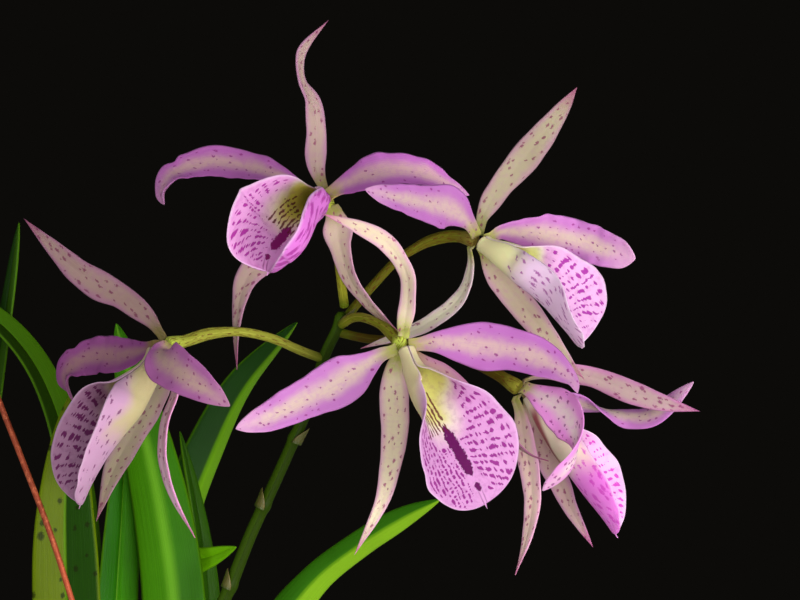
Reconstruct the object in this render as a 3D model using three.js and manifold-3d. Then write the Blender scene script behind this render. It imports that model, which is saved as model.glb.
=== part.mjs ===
// Potted brassanthe orchid: a clay pot of bark, leafy pseudobulbs and one flower stem with five blooms.
// Millimetres, +Z up, +X right, +Y away from the viewer, origin at the middle of the pot's foot.
import * as THREE from 'three';
import { mergeVertices } from 'three/addons/utils/BufferGeometryUtils.js';
import Module from 'manifold-3d';

const wasm = await Module();
wasm.setup();

// Driving dimensions.
const GAP = 0.32;
const POT_HEIGHT = 105;
const POT_FOOT_RADIUS = 42;
const POT_RIM_RADIUS = 61;
const POT_WALL = 5;
const POT_FLOOR = 7;
const POT_BAND = 21;
const DRAIN_RADIUS = 4;
const DRAIN_CIRCLE = 23;
const BARK_TOP = 91;
const BARK_CHIPS = 34;
const TEPAL_THICKNESS = 0.7;
const LIP_THICKNESS = 0.75;
const LEAF_THICKNESS = 1.5;
const STEM_RADIUS = 1.7;
const STALK_RADIUS = 1.15;
const HUB_RADIUS = 2.0;
const PETAL_RING = 2.9;
const LIP_START = 2.45;
const LIP_DROP = 1.7;
const TUBE_ROLL = 165;
const COLUMN_LENGTH = 9;
const WIRE_RADIUS = 0.75;
// What joining and cutting leaves that is finer than this is smoothed away.
const SLIVER = 0.04;

const COLOURS = {
  clay: [0xb9683f, 0.85],
  bark: [0x5a3a24, 0.9],
  growth: [0x7d9a45, 0.55],
  leaf: [0x3c8f1c, 0.45],
  limeLeaf: [0x86a51e, 0.5],
  stem: [0x4f8a25, 0.5],
  stalk: [0x9aa545, 0.5],
  sheath: [0xa98f5c, 0.8],
  sepal: [0xe7cfc6, 0.55],
  petal: [0xcf9ad6, 0.55],
  lip: [0xe3a8e6, 0.5],
  column: [0xd9e38c, 0.5],
  copper: [0xb5562d, 0.4],
};

// Outline of a blade: its width rises from the base's share, then tapers to the tip.
const SEPAL_OUTLINE = { base: 0.42, rise: 0.22, taper: 2.4, point: 1.1 };
const PETAL_OUTLINE = { base: 0.26, rise: 0.42, taper: 3.4, point: 0.8 };
const LEAF_OUTLINE = { base: 0.42, rise: 0.45, taper: 4.5, point: 0.75 };

// How far each layer of a bloom stands in front of the hub, along the way the bloom faces.
const SEPAL_LAYER = -0.9;
const PETAL_LAYER = 0.6;

// Each bloom: its hub, the way it faces, and the midline of each blade from the hub, as rows of
// right, away, up, the blade's turn about its midline in degrees and, where given, a width share.
// A lip also has rows of the turn of its left and its right edge, from the tube to the tip.
const BLOOMS = {
  flower_1: {
    hub: [43.75, -10, 320],
    face: [-0.7, -0.66, -0.2],
    dorsal_sepal: {
      width: 6.2,
      midline: [
        [-2.5, 2, 9, 20], [-2.4, 1, 18, 25, 0.94], [-3.4, -1, 24.8, 45, 1.15],
        [-5.9, -3, 29.8, 62, 0.9], [-6.5, -3, 35, 50], [-5.1, -2, 39, 40, 1.2],
        [0.7, 2, 45.7, 35],
      ],
    },
    left_petal: {
      width: 10.5,
      midline: [
        [-12.6, 4, 6.6, 45], [-20.5, 7, 8.9, 40], [-28, 8, 10.1, 35, 1.04],
        [-34.5, 7, 8.8, 35, 1.02], [-39.3, 4, 6.5, 45, 1.3], [-41.2, 1, 2.4, 60, 1.5],
        [-40.6, -2, -0.9, 80, 2],
      ],
    },
    right_petal: {
      width: 10.2,
      midline: [
        [4.25, -2, 3.6, -40, 1.6], [10.25, -5, 6.4, -38, 1.28], [17, -6, 7.7, -35, 1.06],
        [24.4, -5, 7, -32], [30.8, -2, 4.2, -35, 0.85], [36.2, 1, 1.4, -40],
      ],
    },
    left_lateral_sepal: {
      width: 7.8,
      midline: [
        [-7.3, 3.5, -8.6, 0, 0.76], [-14, 4, -13.4, 0, 1.06], [-19.4, 3, -18.6, 10],
        [-21.6, 1, -25, 30, 0.9], [-22.5, -1, -33, 45, 0.85], [-22.25, -3, -42.6, 55],
      ],
      base: [-2.0, 1.2, -2.0],
    },
    right_lateral_sepal: {
      width: 7.6,
      midline: [
        [2.9, -1.5, -6, 0, 1.35], [3.85, -2, -12, 30, 0.87], [6.25, -2.5, -19.5, 52],
        [9.6, -3.5, -24.4, 58, 1.15], [13.7, -4.5, -28.8, 60, 1.5], [18.35, -5, -32.9, 60],
      ],
      base: [1.9, -0.6, -2.5],
    },
    lip: {
      width: 39,
      midline: [
        [-2.2, -7, -2.8, 45, 0.86], [-4.6, -14.2, -4.6, 38, 0.7], [-6.8, -20.3, -6.6, 30, 0.8],
        [-9.6, -23.6, -10.3, 22, 1], [-12.8, -24.6, -14.2, 16, 1.04], [-14.1, -24.6, -19, 12, 1],
      ],
      roll: [
        [165, 165], [165, 165], [156, 158], [96, 138], [66, 126], [62, 122], [64, 124],
      ],
    },
  },
  flower_2: {
    hub: [82, -14, 310],
    face: [0.66, -0.66, -0.36],
    dorsal_sepal: {
      width: 8.4,
      midline: [
        [1.7, 3, 6.9, 10, 0.68], [5.9, 5, 13.8, 15, 0.77], [11.1, 6, 19.9, 5, 1.1],
        [15.2, 5, 24.8, 5, 1.28], [19.6, 4, 30.8, 20, 1.5], [25.1, 2, 38.6, 25, 2.2],
      ],
      base: [0.6, 1.4, 2.7],
    },
    left_petal: {
      width: 11.5,
      midline: [
        [-2.4, -4, 4.4, -10], [-6.8, -9, 7.7, 0, 1.12], [-13.3, -15, 9, 5, 0.86],
        [-20.2, -21, 10.3, 10, 0.84], [-28.1, -27, 12.2, 10],
      ],
    },
    right_petal: {
      width: 11.5,
      midline: [
        [6.75, 3, 2.4, 35], [13, 4.5, 2, 30], [20, 5, 1.4, 18], [27, 4, -0.4, 10, 1.1],
        [34, 1, -2.75, 15, 1.45], [39.6, -1, -4.6, 30, 2.6],
      ],
      base: [2.7, 0.3, 0.6],
    },
    left_lateral_sepal: {
      width: 7,
      midline: [
        [-1.6, 3, -6, 66, 0.8], [-2.5, 5, -11, 62, 0.8], [-5.2, 6, -15.5, 45, 0.8],
        [-10, 5, -19.4, 35, 0.82], [-17, 2, -23.1, 28, 0.9], [-29.5, -3, -27.2, 40],
      ],
      base: [-2.0, 1.2, -2.0],
    },
    right_lateral_sepal: {
      width: 8.4,
      midline: [
        [3.9, 4, -6.9, 0, 0.85], [7.6, 6, -11.8, 0, 0.88], [12.6, 6.5, -17.9, 0, 0.97],
        [17.9, 4.5, -24.6, 5], [23.2, 0.5, -30.9, 10], [26.8, -3, -35, 10],
      ],
      base: [1.6, 1.6, -2.4],
    },
    lip: {
      width: 34,
      midline: [
        [4.6, -4.5, -5.2, -50, 1.1], [8.9, -7.5, -9, -55, 0.86], [13.9, -9.7, -13.1, -58, 0.86],
        [18.9, -10.4, -17.8, -58, 1.02], [23.2, -9.8, -22.5, -58, 1.18],
        [26, -8.6, -27.1, -58, 1.18],
      ],
      roll: [
        [165, 165], [165, 165], [158, 150], [116, 76], [66, 50], [54, 40], [52, 34],
      ],
    },
  },
  flower_3: {
    hub: [63, -30, 283.75],
    face: [0.25, -0.94, -0.2],
    dorsal_sepal: {
      width: 6.4,
      midline: [
        [0.5, 2, 5, 0, 1.1], [1.5, 2, 11, -30, 0.76], [1.4, 0.5, 17, -38, 0.82],
        [-0.8, -1.5, 21.6, -20, 0.82], [-4.6, -3.5, 26, 0, 1.1], [-11.2, -6, 29.4, 10, 1.3],
        [-19.6, -8.3, 32.5, 20, 1.3],
      ],
    },
    left_petal: {
      width: 12,
      midline: [
        [-5.6, 0, -2.6, 10], [-11.7, 0.4, -6.8, 5, 1.16], [-18.5, 0.4, -10.7, 5, 1.02],
        [-26.1, -0.4, -14.3, 5, 0.94], [-33.2, -1.8, -17.8, 8, 1.02],
        [-41.1, -4, -20.6, 10, 1.3],
      ],
    },
    right_petal: {
      width: 12,
      midline: [
        [9.5, 0.5, 0.7, -5, 1.1], [19.4, 1, -0.1, 0, 1.05], [28.5, 0, -1.2, 0],
        [36, -2, -4.2, -12, 1.04], [41.5, -4.5, -8.2, -28, 0.9], [43.3, -7, -11.7, -35],
      ],
    },
    left_lateral_sepal: {
      width: 7.9,
      midline: [
        [-2.1, 2.5, -6.5, 0], [-2, 2.5, -13.75, 0, 0.98], [-1.85, 1, -22, 0, 0.94],
        [-3, -1, -30.5, 0, 0.9], [-5.3, -3, -39.3, 5, 0.88], [-11.75, -5, -51.7, 15],
      ],
    },
    right_lateral_sepal: {
      width: 6.6,
      midline: [
        [6.6, 3.5, -5.5, 0], [12.6, 6, -9.9, 0], [20.2, 7, -16.8, 20], [27, 6, -23.25, 50],
        [32, 4, -27.2, 78], [36.5, 2, -28.8, 88],
      ],
    },
    lip: {
      width: 33,
      midline: [
        [2.8, -5.5, -7.6, -20], [6.4, -9, -14, -25, 0.88], [10.2, -11, -20.4, -27, 0.9],
        [14.5, -11.7, -27.5, -27], [18.3, -11.3, -34.2, -27], [21, -10.3, -40.1, -27],
      ],
      roll: [
        [165, 165], [165, 162], [138, 120], [60, 42], [34, 20], [26, 14], [22, 12],
      ],
    },
  },
  flower_4: {
    hub: [92.75, -14, 272.5],
    face: [0.82, -0.36, -0.44],
    dorsal_sepal: {
      width: 7.4,
      midline: [
        [3.5, 3, 3.1, 80], [7.5, 4.5, 3.7, 74], [12, 5, 3.9, 48], [18.5, 4.5, 3, 24, 0.86],
        [27.1, 2, -0.3, 10, 1.2], [36.1, -1, -3.4, 12, 1.5], [44.9, -3, -5.4, 20, 1.8],
      ],
    },
    far_petal: {
      width: 9.5,
      midline: [
        [6, 6, -1.6, 50], [11, 10, -2.6, 50], [16, 12.5, -3.9, 60], [21.5, 13, -5.6, 92],
        [27.75, 12, -7.3, 130, 0.87], [34.6, 9, -6.2, 140], [43.9, 5, 1.9, 150],
      ],
    },
    near_petal: {
      width: 11.5,
      midline: [
        [4.75, -7.3, -1.4, -15, 1.12], [9.25, -12, -4.4, 5], [12.6, -16.5, -8.6, 40],
        [13.4, -18.5, -13.5, 85], [11.2, -18.5, -18.6, 120], [5, -16.5, -24.8, 145],
      ],
      base: [0.9, -2.9, 0.6],
    },
    left_lateral_sepal: {
      width: 6.8,
      midline: [
        [0.3, 1.5, -7, 45], [1, 1, -13, 40, 1.05], [2.4, 0, -20, 32],
        [3, -1, -29, 38, 1.07], [1.5, 0, -38, 50, 1.25], [-1.25, 2, -46.75, 55],
      ],
      base: [-1.2, 1.4, -2.6],
    },
    right_lateral_sepal: {
      width: 7.6,
      midline: [
        [3.5, 4.5, -8.75, 0], [6.75, 7, -16.25, 0], [10, 7.5, -23.5, 10],
        [13.4, 6.5, -31, 20, 1.1], [18.4, 4, -39.8, 30, 1.4],
      ],
      base: [2.2, 2.6, -1.6],
    },
    lip: {
      width: 25.4,
      midline: [
        [3.6, -2.6, -7.6, -65, 1.1], [7.4, -3.6, -13.8, -68, 1.05],
        [11.5, -4.2, -19.7, -68, 0.96], [16.1, -4, -25.8, -68, 1.04],
        [20.8, -3.2, -31.8, -68, 0.9], [24.4, -2.2, -37.2, -68, 0.76],
      ],
      roll: [
        [165, 165], [165, 165], [155, 150], [106, 84], [78, 62], [74, 60], [70, 58],
      ],
    },
  },
  flower_5: {
    hub: [4.25, -24, 283.75],
    face: [-0.72, -0.5, -0.48],
    dorsal_sepal: {
      width: 8.6,
      midline: [
        [-4.6, 3, 6.7, 5, 0.64], [-11.3, 4, 12, 10, 0.76], [-17, 3.5, 14.9, 6, 1.04],
        [-22.7, 2, 18.9, 0, 1.07], [-28.4, 0, 24.5, 0, 1.06], [-35.4, -2, 31.6, 0],
      ],
    },
    far_petal: {
      width: 11,
      midline: [
        [-6.6, 4.2, -1.6, 20, 1], [-13, 9, -2.6, 20, 0.92], [-18.75, 12.5, -2.85, 18],
        [-23.5, 14, -4.6, 25], [-26.2, 14, -8.2, 55, 1.1], [-24.2, 11, -14, 110, 1.3],
      ],
      base: [-2.8, 0.45, 0.0],
    },
    near_petal: {
      width: 11,
      midline: [
        [-0.8, -8, -1.2, 10, 1.05], [0.1, -15.5, -3.7, 5, 1.08], [6.2, -24, -7.4, 0, 1.05],
        [17, -32, -14.5, 0],
      ],
    },
    left_lateral_sepal: {
      width: 8.2,
      midline: [
        [-2.2, 6.2, -8, 0], [-5.2, 8.5, -15.5, 0], [-9.2, 9, -23, 5],
        [-13.5, 7.5, -31.4, 12, 1.25], [-17.75, 4.5, -44.25, 20],
      ],
      base: [-0.6, 3.0, -2.1],
    },
    right_lateral_sepal: {
      width: 6,
      midline: [
        [1.9, 1.2, -7, 62], [2.1, 1.8, -12, 66, 0.85], [-0.2, 1.2, -19, 62, 0.85],
        [-0.95, 0.6, -27, 60], [1.25, -0.5, -36.5, 63, 1.35], [7.3, -2, -48, 66],
      ],
      base: [2.1, 0.6, -2.2],
    },
    lip: {
      width: 30,
      midline: [
        [-2.6, -3.8, -8.2, 50, 1.35], [-6.4, -5.6, -15.4, 55, 1.25], [-11, -6.8, -21.8, 56, 1.06],
        [-15.6, -6.9, -28, 56], [-19.2, -6.2, -34.4, 56, 1.03], [-21.4, -5.2, -40.6, 56],
      ],
      roll: [
        [165, 165], [165, 165], [155, 152], [92, 96], [60, 74], [50, 64], [46, 58],
      ],
    },
  },
};

// Pseudobulbs: foot, tip and greatest radius.
const BULBS = [
  { foot: [-34, 1, 88], tip: [-40, -4, 124], radius: 5.0 },
  { foot: [-24, 6, 88], tip: [-28, 12, 150], radius: 5.6 },
  { foot: [-13, 3, 88], tip: [-15, 1, 158], radius: 5.8 },
  { foot: [-2, 5, 88], tip: [0, 6, 165], radius: 6.0 },
  { foot: [9, 8, 88], tip: [11, 14, 155], radius: 5.8 },
  { foot: [20, 6, 88], tip: [25, 9, 140], radius: 5.2 },
];

// Roots: rows of points, right, away, up.
const ROOTS = [
  [[-24, 4, 92], [-22, -6, 95], [-18, -16, 95.5], [-20, -27, 94], [-26, -34, 88]],
  [[-2, 4, 92], [0, -6, 96], [3, -15, 96.5], [1, -25, 95], [-4, -35, 88]],
  [[9, 7, 92], [16, -3, 95.5], [24, -10, 95.5], [31, -20, 93], [33, -28, 86]],
  [[20, 8, 92], [28, 17, 95], [33, 26, 94], [31, 34, 87]],
  [[-13, 4, 92], [-14, 16, 95.5], [-19, 26, 95], [-24, 33, 87]],
];

// Leaves: the midline in the pot's frame, as rows of right, away, up and turn.
const LEAVES = {
  leaf_far_left: {
    width: 7,
    midline: [
      [-40.4, -2.6, 125.2, 60], [-46, 8, 160, 20], [-50, 26, 205, -20], [-47, 35, 245, -30],
      [-42.3, 37, 280, -30], [-39.4, 37, 300, -30, 1.2], [-37.2, 36, 315.4, -30, 1.5],
    ],
  },
  leaf_arching: {
    width: 12,
    midline: [
      [-24, 12.8, 147.5, -75], [-20.5, 21, 185, 10], [-20.3, 26, 222, 30], [-23, 28, 252, 42],
      [-29.6, 29, 273.2, 50], [-40, 29, 287.6, 50], [-54, 28, 296, 50], [-74, 26, 298.5, 50],
    ],
  },
  leaf_lime: {
    width: 18.2,
    midline: [
      [-18.9, 1, 155.5, 75], [-19.6, 0, 185, 15], [-22.2, 3, 212, 0], [-23, 4, 236, 5],
      [-22.4, 4, 256, 8], [-21.4, 4, 271, 10],
    ],
  },
  leaf_dark: {
    width: 12,
    midline: [
      [-11.2, 2.4, 155.5, -60], [-12, 13, 188, 0], [-10.5, 19, 220, 20], [-9.2, 21, 245, 20],
      [-9, 21, 264, 20],
    ],
  },
  leaf_broad: {
    width: 16.5,
    keel: -0.22,
    midline: [
      [-2.8, 10.4, 162.5, 0], [2.5, 11.6, 190, 0], [4.6, 13, 214, 0], [1.2, 15, 240, -5],
      [-4.4, 17, 265, -5], [-10.75, 19, 289, -5],
    ],
  },
  leaf_narrow: {
    width: 7.5,
    midline: [
      [4.9, 9.8, 162.5, 50], [5.7, 17.6, 181, 50], [10.8, 23, 196, 50], [13, 25.2, 214, 50],
      [10.6, 25, 236, 50], [5.5, 23.5, 261, 50],
    ],
  },
  leaf_leaning: {
    width: 15.6,
    keel: -0.5,
    midline: [
      [9.6, 19.3, 151.5, 25], [5.8, 27, 186, 42], [2.8, 31, 214, 42], [5.2, 33, 236, 42],
      [12.2, 34, 255.5, 42], [21.2, 34.5, 273, 42], [35.6, 35, 289.3, 42],
    ],
  },
  leaf_small: {
    width: 12,
    midline: [
      [15.9, 12.4, 151.8, -60], [13.2, 15, 178, 0], [5.2, 18.2, 204, 10], [2.4, 20, 216, 10],
      [5.2, 20.5, 224, 5], [9.5, 19.6, 227.4, 0], [14, 16.8, 229, 0], [20.5, 12.6, 231.6, 0],
    ],
  },
  leaf_right: {
    width: 12,
    keel: -0.45,
    midline: [
      [25.2, 13.5, 136.5, 0], [25, 14.5, 166, 0], [26.5, 15, 193, 0],
      [31.5, 14, 210.5, 0, 0.94], [40.6, 11, 223.2, 0, 0.78], [52.3, 7, 232.6, 0, 0.84],
      [63.2, 3, 239.5, 0, 1.05], [72.8, -1, 244.4, 0],
    ],
  },
};

// Flower stem, stalks and support wire: rows of points, right, away, up.
const STEM = [
  [0.4, 5.2, 165.8], [3, 5, 181], [8.3, 5, 197.5], [13.5, 4, 210], [19, 3, 221.5], [24.6, 1, 235.5],
  [30.3, -1, 247.8], [35.8, -3, 260], [40.2, -4.5, 270.3], [43.3, -6, 280.5], [46.3, -7.2, 287],
  [48.3, -8, 292],
];
const STALKS = {
  flower_1: [[48.5, -8, 293], [47.6, -5.5, 300], [46.7, -3.5, 307], [45.8, -4, 314.5], [43.75, -10, 320]],
  flower_2: [
    [48.4, -6.7, 289.8], [51.2, -4.8, 293.5], [56.2, -5, 299.3], [61, -6, 304.4], [65, -7, 307.3],
    [70, -8.5, 309.9], [76, -10.5, 311.1], [82, -14, 310],
  ],
  flower_3: [[47.4, -8.4, 288.6], [50.6, -12, 290.5], [54, -16.5, 290.4], [58.6, -22.5, 288.2], [63, -30, 283.75]],
  flower_4: [
    [46.2, -7, 287], [54.5, -6, 285.2], [66, -6, 284.2], [77, -8, 281.2], [86, -11, 276.9],
    [92.75, -14, 272.5],
  ],
  flower_5: [
    [43.2, -6, 280], [37.5, -8, 282.2], [30, -11, 285.4], [22.5, -14, 287], [15, -18, 286.6],
    [9, -21, 284.8], [4.25, -24, 283.75],
  ],
};
const WIRE = [
  [8, -24, 84], [3, -23, 118], [-5.5, -21, 158], [-13.2, -19, 195], [-17.4, -18, 212],
  [-21.2, -17.2, 224.5], [-25.4, -16.4, 237], [-31.2, -15.2, 252], [-37.6, -14, 268],
  [-42.4, -13, 280], [-46, -12, 290],
];
// Bracts on the flower stem: share of its length, the way the bract points round it, and its length.
const BRACTS = [
  { at: 0.44, round: 200, length: 4 },
  { at: 0.605, round: 165, length: 4.2 },
  { at: 0.745, round: 20, length: 4 },
  { at: 0.985, round: 10, length: 4.5 },
];

const VIEWER = new THREE.Vector3(0, -1, 0);
const vector = ([x, y, z]) => new THREE.Vector3(x, y, z);
const radians = THREE.MathUtils.degToRad;

function material(name) {
  const [color, roughness] = COLOURS[name];
  return new THREE.MeshStandardMaterial({ color, roughness, metalness: name === 'copper' ? 0.9 : 0 });
}

function curve(points) {
  return new THREE.CatmullRomCurve3(points.map(vector), false, 'catmullrom', 0.5);
}

// Values that go with the points of a curve, blended in the same way as the points.
function blended(values) {
  return new THREE.CatmullRomCurve3(
    values.map((value) => new THREE.Vector3(value, 0, 0)), false, 'catmullrom', 0.5,
  );
}

// Steps along a midline: place, tangent, the blade's face and side directions, and its width share.
function spine(midline, origin, steps) {
  const path = curve(midline.map(([x, y, z]) => [x + origin.x, y + origin.y, z + origin.z]));
  const turns = blended(midline.map((row) => row[3]));
  const shares = blended(midline.map((row) => row[4] ?? 1));
  return Array.from({ length: steps + 1 }, (_, step) => {
    const t = path.getUtoTmapping(step / steps);
    const tangent = path.getTangent(t);
    const plain = VIEWER.clone().addScaledVector(tangent, -VIEWER.dot(tangent)).normalize();
    const turn = radians(turns.getPoint(t).x);
    const face = plain.applyAxisAngle(tangent, turn);
    return {
      u: step / steps,
      t,
      place: path.getPoint(t),
      face,
      side: new THREE.Vector3().crossVectors(tangent, face),
      share: shares.getPoint(t).x,
    };
  });
}

function outlineShare({ base, rise, taper, point }, u) {
  const grown = base + (1 - base) * THREE.MathUtils.smoothstep(u, 0, rise);
  return grown * (1 - u ** taper) ** point;
}

// Geometry from plain vertices and triangles, turned to face outwards.
function solid(vertices, triangles) {
  let volume = 0;
  for (const [a, b, c] of triangles) {
    volume += vertices[a].dot(new THREE.Vector3().crossVectors(vertices[b], vertices[c]));
  }
  const outward = volume > 0 ? triangles : triangles.map(([a, b, c]) => [a, c, b]);
  const geometry = new THREE.BufferGeometry();
  geometry.setAttribute('position', new THREE.Float32BufferAttribute(
    vertices.flatMap((vertex) => vertex.toArray()), 3,
  ));
  geometry.setIndex(outward.flat());
  return geometry;
}

// A thin closed sheet: the grid is offset to both sides of its middle, split alike, and edged.
function sheet(grid, thickness) {
  const rows = grid.length;
  const columns = grid[0].length;
  const clampRow = (row) => Math.min(Math.max(row, 0), rows - 1);
  const clampColumn = (column) => Math.min(Math.max(column, 0), columns - 1);
  const front = [];
  const back = [];
  for (let row = 0; row < rows; row += 1) {
    for (let column = 0; column < columns; column += 1) {
      const along = grid[clampRow(row + 1)][column].clone().sub(grid[clampRow(row - 1)][column]);
      const across = grid[row][clampColumn(column + 1)].clone().sub(grid[row][clampColumn(column - 1)]);
      const offset = along.cross(across).normalize().multiplyScalar(thickness / 2);
      front.push(grid[row][column].clone().add(offset));
      back.push(grid[row][column].clone().sub(offset));
    }
  }
  const vertices = [...front, ...back];
  const triangles = [];
  const at = (row, column, side) => side * rows * columns + row * columns + column;
  for (let row = 0; row < rows - 1; row += 1) {
    for (let column = 0; column < columns - 1; column += 1) {
      for (const side of [0, 1]) {
        const [a, b, c, d] = [
          at(row, column, side), at(row + 1, column, side),
          at(row + 1, column + 1, side), at(row, column + 1, side),
        ];
        triangles.push(...(side ? [[a, b, c], [a, c, d]] : [[a, c, b], [a, d, c]]));
      }
    }
  }
  const rim = [];
  for (let column = 0; column < columns; column += 1) rim.push([0, column]);
  for (let row = 1; row < rows; row += 1) rim.push([row, columns - 1]);
  for (let column = columns - 2; column >= 0; column -= 1) rim.push([rows - 1, column]);
  for (let row = rows - 2; row > 0; row -= 1) rim.push([row, 0]);
  rim.forEach(([row, column], index) => {
    const [nextRow, nextColumn] = rim[(index + 1) % rim.length];
    const [a, b] = [at(row, column, 0), at(nextRow, nextColumn, 0)];
    const [c, d] = [at(nextRow, nextColumn, 1), at(row, column, 1)];
    triangles.push([a, c, b], [a, d, c]);
  });
  return solid(vertices, triangles);
}

// A blade: across its width it cups as the square of the share from the middle, and keels as the share.
function blade({ midline, width, outline, origin, steps, across, cup = 0, keel = 0, thickness }) {
  const endWidth = 0.9;
  const grid = spine(midline, origin, steps).map(({ u, place, face, side, share }) => {
    const half = Math.max(width * share * outlineShare(outline, u), endWidth) / 2;
    return Array.from({ length: across + 1 }, (_, column) => {
      const v = (2 * column) / across - 1;
      const lift = cup * (v * v - 1 / 3) + keel * (Math.abs(v) - 0.5);
      return place.clone().addScaledVector(side, half * v).addScaledVector(face, half * lift);
    });
  });
  return sheet(grid, thickness);
}

// Share of a lip's full width along its midline: it widens up to the throat, then rounds off.
function stripShare(u) {
  const baseShare = 0.33;
  const throat = 0.45;
  const roundFrom = 0.62;
  const grown = baseShare + (1 - baseShare) * THREE.MathUtils.smoothstep(u, 0.02, throat);
  return grown * Math.sqrt(Math.max(0, 1 - (Math.max(0, u - roundFrom) / (1 - roundFrom)) ** 2));
}

// A rolled blade, such as a lip: a strip whose direction turns across it by a roll angle each way,
// with one angle for its left edge and one for its right. Part of the turn is taken in a crease
// along the middle.
function rolled({ midline, width, roll, origin, steps, across, thickness }) {
  const creaseShare = 0.55;
  const creaseSharpness = 4;
  const endWidth = 1.2;
  const [leftRolls, rightRolls] = [0, 1].map((edge) => blended(roll.map((pair) => pair[edge])));
  const grid = spine(midline, origin, steps).map(({ u, t, place, face, side, share }) => {
    const half = Math.max(width * share * stripShare(u), endWidth) / 2;
    const walk = [place];
    const stride = (2 * half) / across;
    for (const [way, rolls] of [[1, leftRolls], [-1, rightRolls]]) {
      const edge = rolls.getPoint(t).x;
      const crease = creaseShare * (1 - THREE.MathUtils.smoothstep(edge, 60, 150));
      const angle = (v) => radians(edge) * (
        (1 - crease) * v + (crease * Math.tanh(creaseSharpness * v)) / Math.tanh(creaseSharpness)
      );
      let point = place;
      for (let step = 0; step < across / 2; step += 1) {
        const heading = angle((way * (2 * step + 1)) / across);
        point = point.clone().addScaledVector(side, way * stride * Math.cos(heading))
          .addScaledVector(face, way * stride * Math.sin(heading));
        if (way > 0) walk.push(point);
        else walk.unshift(point);
      }
    }
    return walk;
  });
  return sheet(grid, thickness);
}

// Points with both ends drawn out by a length, so that a hole cut with them is deeper than its rod.
function drawnOut(points, length) {
  const ends = [[0, 1], [points.length - 1, points.length - 2]];
  const longer = points.map((point) => [...point]);
  for (const [end, beside] of ends) {
    const way = vector(points[end]).sub(vector(points[beside])).normalize();
    longer[end] = vector(points[end]).addScaledVector(way, length).toArray();
  }
  return longer;
}

// A round rod along points, its radius given by a function of the share of its length.
function rod(points, radius, { steps, sides }) {
  const path = curve(points);
  const { normals, binormals } = path.computeFrenetFrames(steps, false);
  const vertices = [];
  const triangles = [];
  for (let step = 0; step <= steps; step += 1) {
    const centre = path.getPointAt(step / steps);
    for (let side = 0; side < sides; side += 1) {
      const angle = (2 * Math.PI * side) / sides;
      vertices.push(centre.clone()
        .addScaledVector(normals[step], radius(step / steps) * Math.cos(angle))
        .addScaledVector(binormals[step], radius(step / steps) * Math.sin(angle)));
    }
  }
  for (let step = 0; step < steps; step += 1) {
    for (let side = 0; side < sides; side += 1) {
      const next = (side + 1) % sides;
      const [a, b] = [step * sides + side, step * sides + next];
      triangles.push([a, b, b + sides], [a, b + sides, a + sides]);
    }
  }
  const [start, end] = [vertices.length, vertices.length + 1];
  vertices.push(path.getPointAt(0), path.getPointAt(1));
  const lastRing = steps * sides;
  for (let side = 0; side < sides; side += 1) {
    const next = (side + 1) % sides;
    triangles.push([start, next, side], [end, lastRing + side, lastRing + next]);
  }
  return solid(vertices, triangles);
}

// Between three.js geometry and solids that can be joined and cut.
function toSolid(geometry) {
  const plain = geometry.clone();
  plain.deleteAttribute('normal');
  plain.deleteAttribute('uv');
  const merged = mergeVertices(plain, 1e-4);
  return new wasm.Manifold(new wasm.Mesh({
    numProp: 3,
    vertProperties: new Float32Array(merged.attributes.position.array),
    triVerts: new Uint32Array(merged.index.array),
  }));
}

function fromSolid(body) {
  const mesh = body.simplify(SLIVER).getMesh();
  const geometry = new THREE.BufferGeometry();
  geometry.setAttribute('position', new THREE.BufferAttribute(new Float32Array(mesh.vertProperties), 3));
  geometry.setIndex(new THREE.BufferAttribute(new Uint32Array(mesh.triVerts), 1));
  return geometry;
}

function largestBody(body) {
  const bodies = body.decompose();
  return bodies.reduce((best, one) => (one.volume() > best.volume() ? one : best));
}

// Seeded draws between 0 and 1.
function draws(seed) {
  let state = seed;
  return () => {
    state = (state * 1664525 + 1013904223) % 4294967296;
    return state / 4294967296;
  };
}

function add(group, name, geometry, colour) {
  const mesh = new THREE.Mesh(geometry, material(colour));
  mesh.name = name;
  group.add(mesh);
}

function potInnerRadius(z) {
  const low = POT_FOOT_RADIUS - POT_WALL + 1;
  const high = POT_RIM_RADIUS - POT_WALL;
  return low + ((high - low) * (z - POT_FLOOR)) / (POT_HEIGHT - POT_FLOOR);
}

function pot() {
  const bandBottom = POT_HEIGHT - POT_BAND;
  const underBand = potInnerRadius(bandBottom) + POT_WALL;
  const profile = [
    [0, 0], [POT_FOOT_RADIUS - 1.5, 0], [POT_FOOT_RADIUS, 1.5], [underBand, bandBottom],
    [POT_RIM_RADIUS - 2.2, bandBottom + 1], [POT_RIM_RADIUS, POT_HEIGHT - 2],
    [POT_RIM_RADIUS - 1, POT_HEIGHT - 0.5], [POT_RIM_RADIUS - 2, POT_HEIGHT],
    [POT_RIM_RADIUS - POT_WALL + 1, POT_HEIGHT], [potInnerRadius(POT_HEIGHT - 1.5), POT_HEIGHT - 1.5],
    [potInnerRadius(POT_FLOOR + 3), POT_FLOOR + 3], [potInnerRadius(POT_FLOOR) - 3, POT_FLOOR],
    [0, POT_FLOOR],
  ];
  const points = profile.map(([radius, height]) => new THREE.Vector2(radius, height));
  const body = new THREE.LatheGeometry(points, 32).rotateX(Math.PI / 2);
  let cut = toSolid(body);
  if (cut.volume() < 0) throw new Error('the pot is inside out');
  for (let hole = 0; hole < 4; hole += 1) {
    const angle = (hole + 0.5) * (Math.PI / 2);
    const drill = new THREE.CylinderGeometry(DRAIN_RADIUS, DRAIN_RADIUS, 3 * POT_FLOOR, 12)
      .rotateX(Math.PI / 2)
      .translate(DRAIN_CIRCLE * Math.cos(angle), DRAIN_CIRCLE * Math.sin(angle), POT_FLOOR / 2);
    cut = cut.subtract(toSolid(drill));
  }
  return fromSolid(cut);
}

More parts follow.
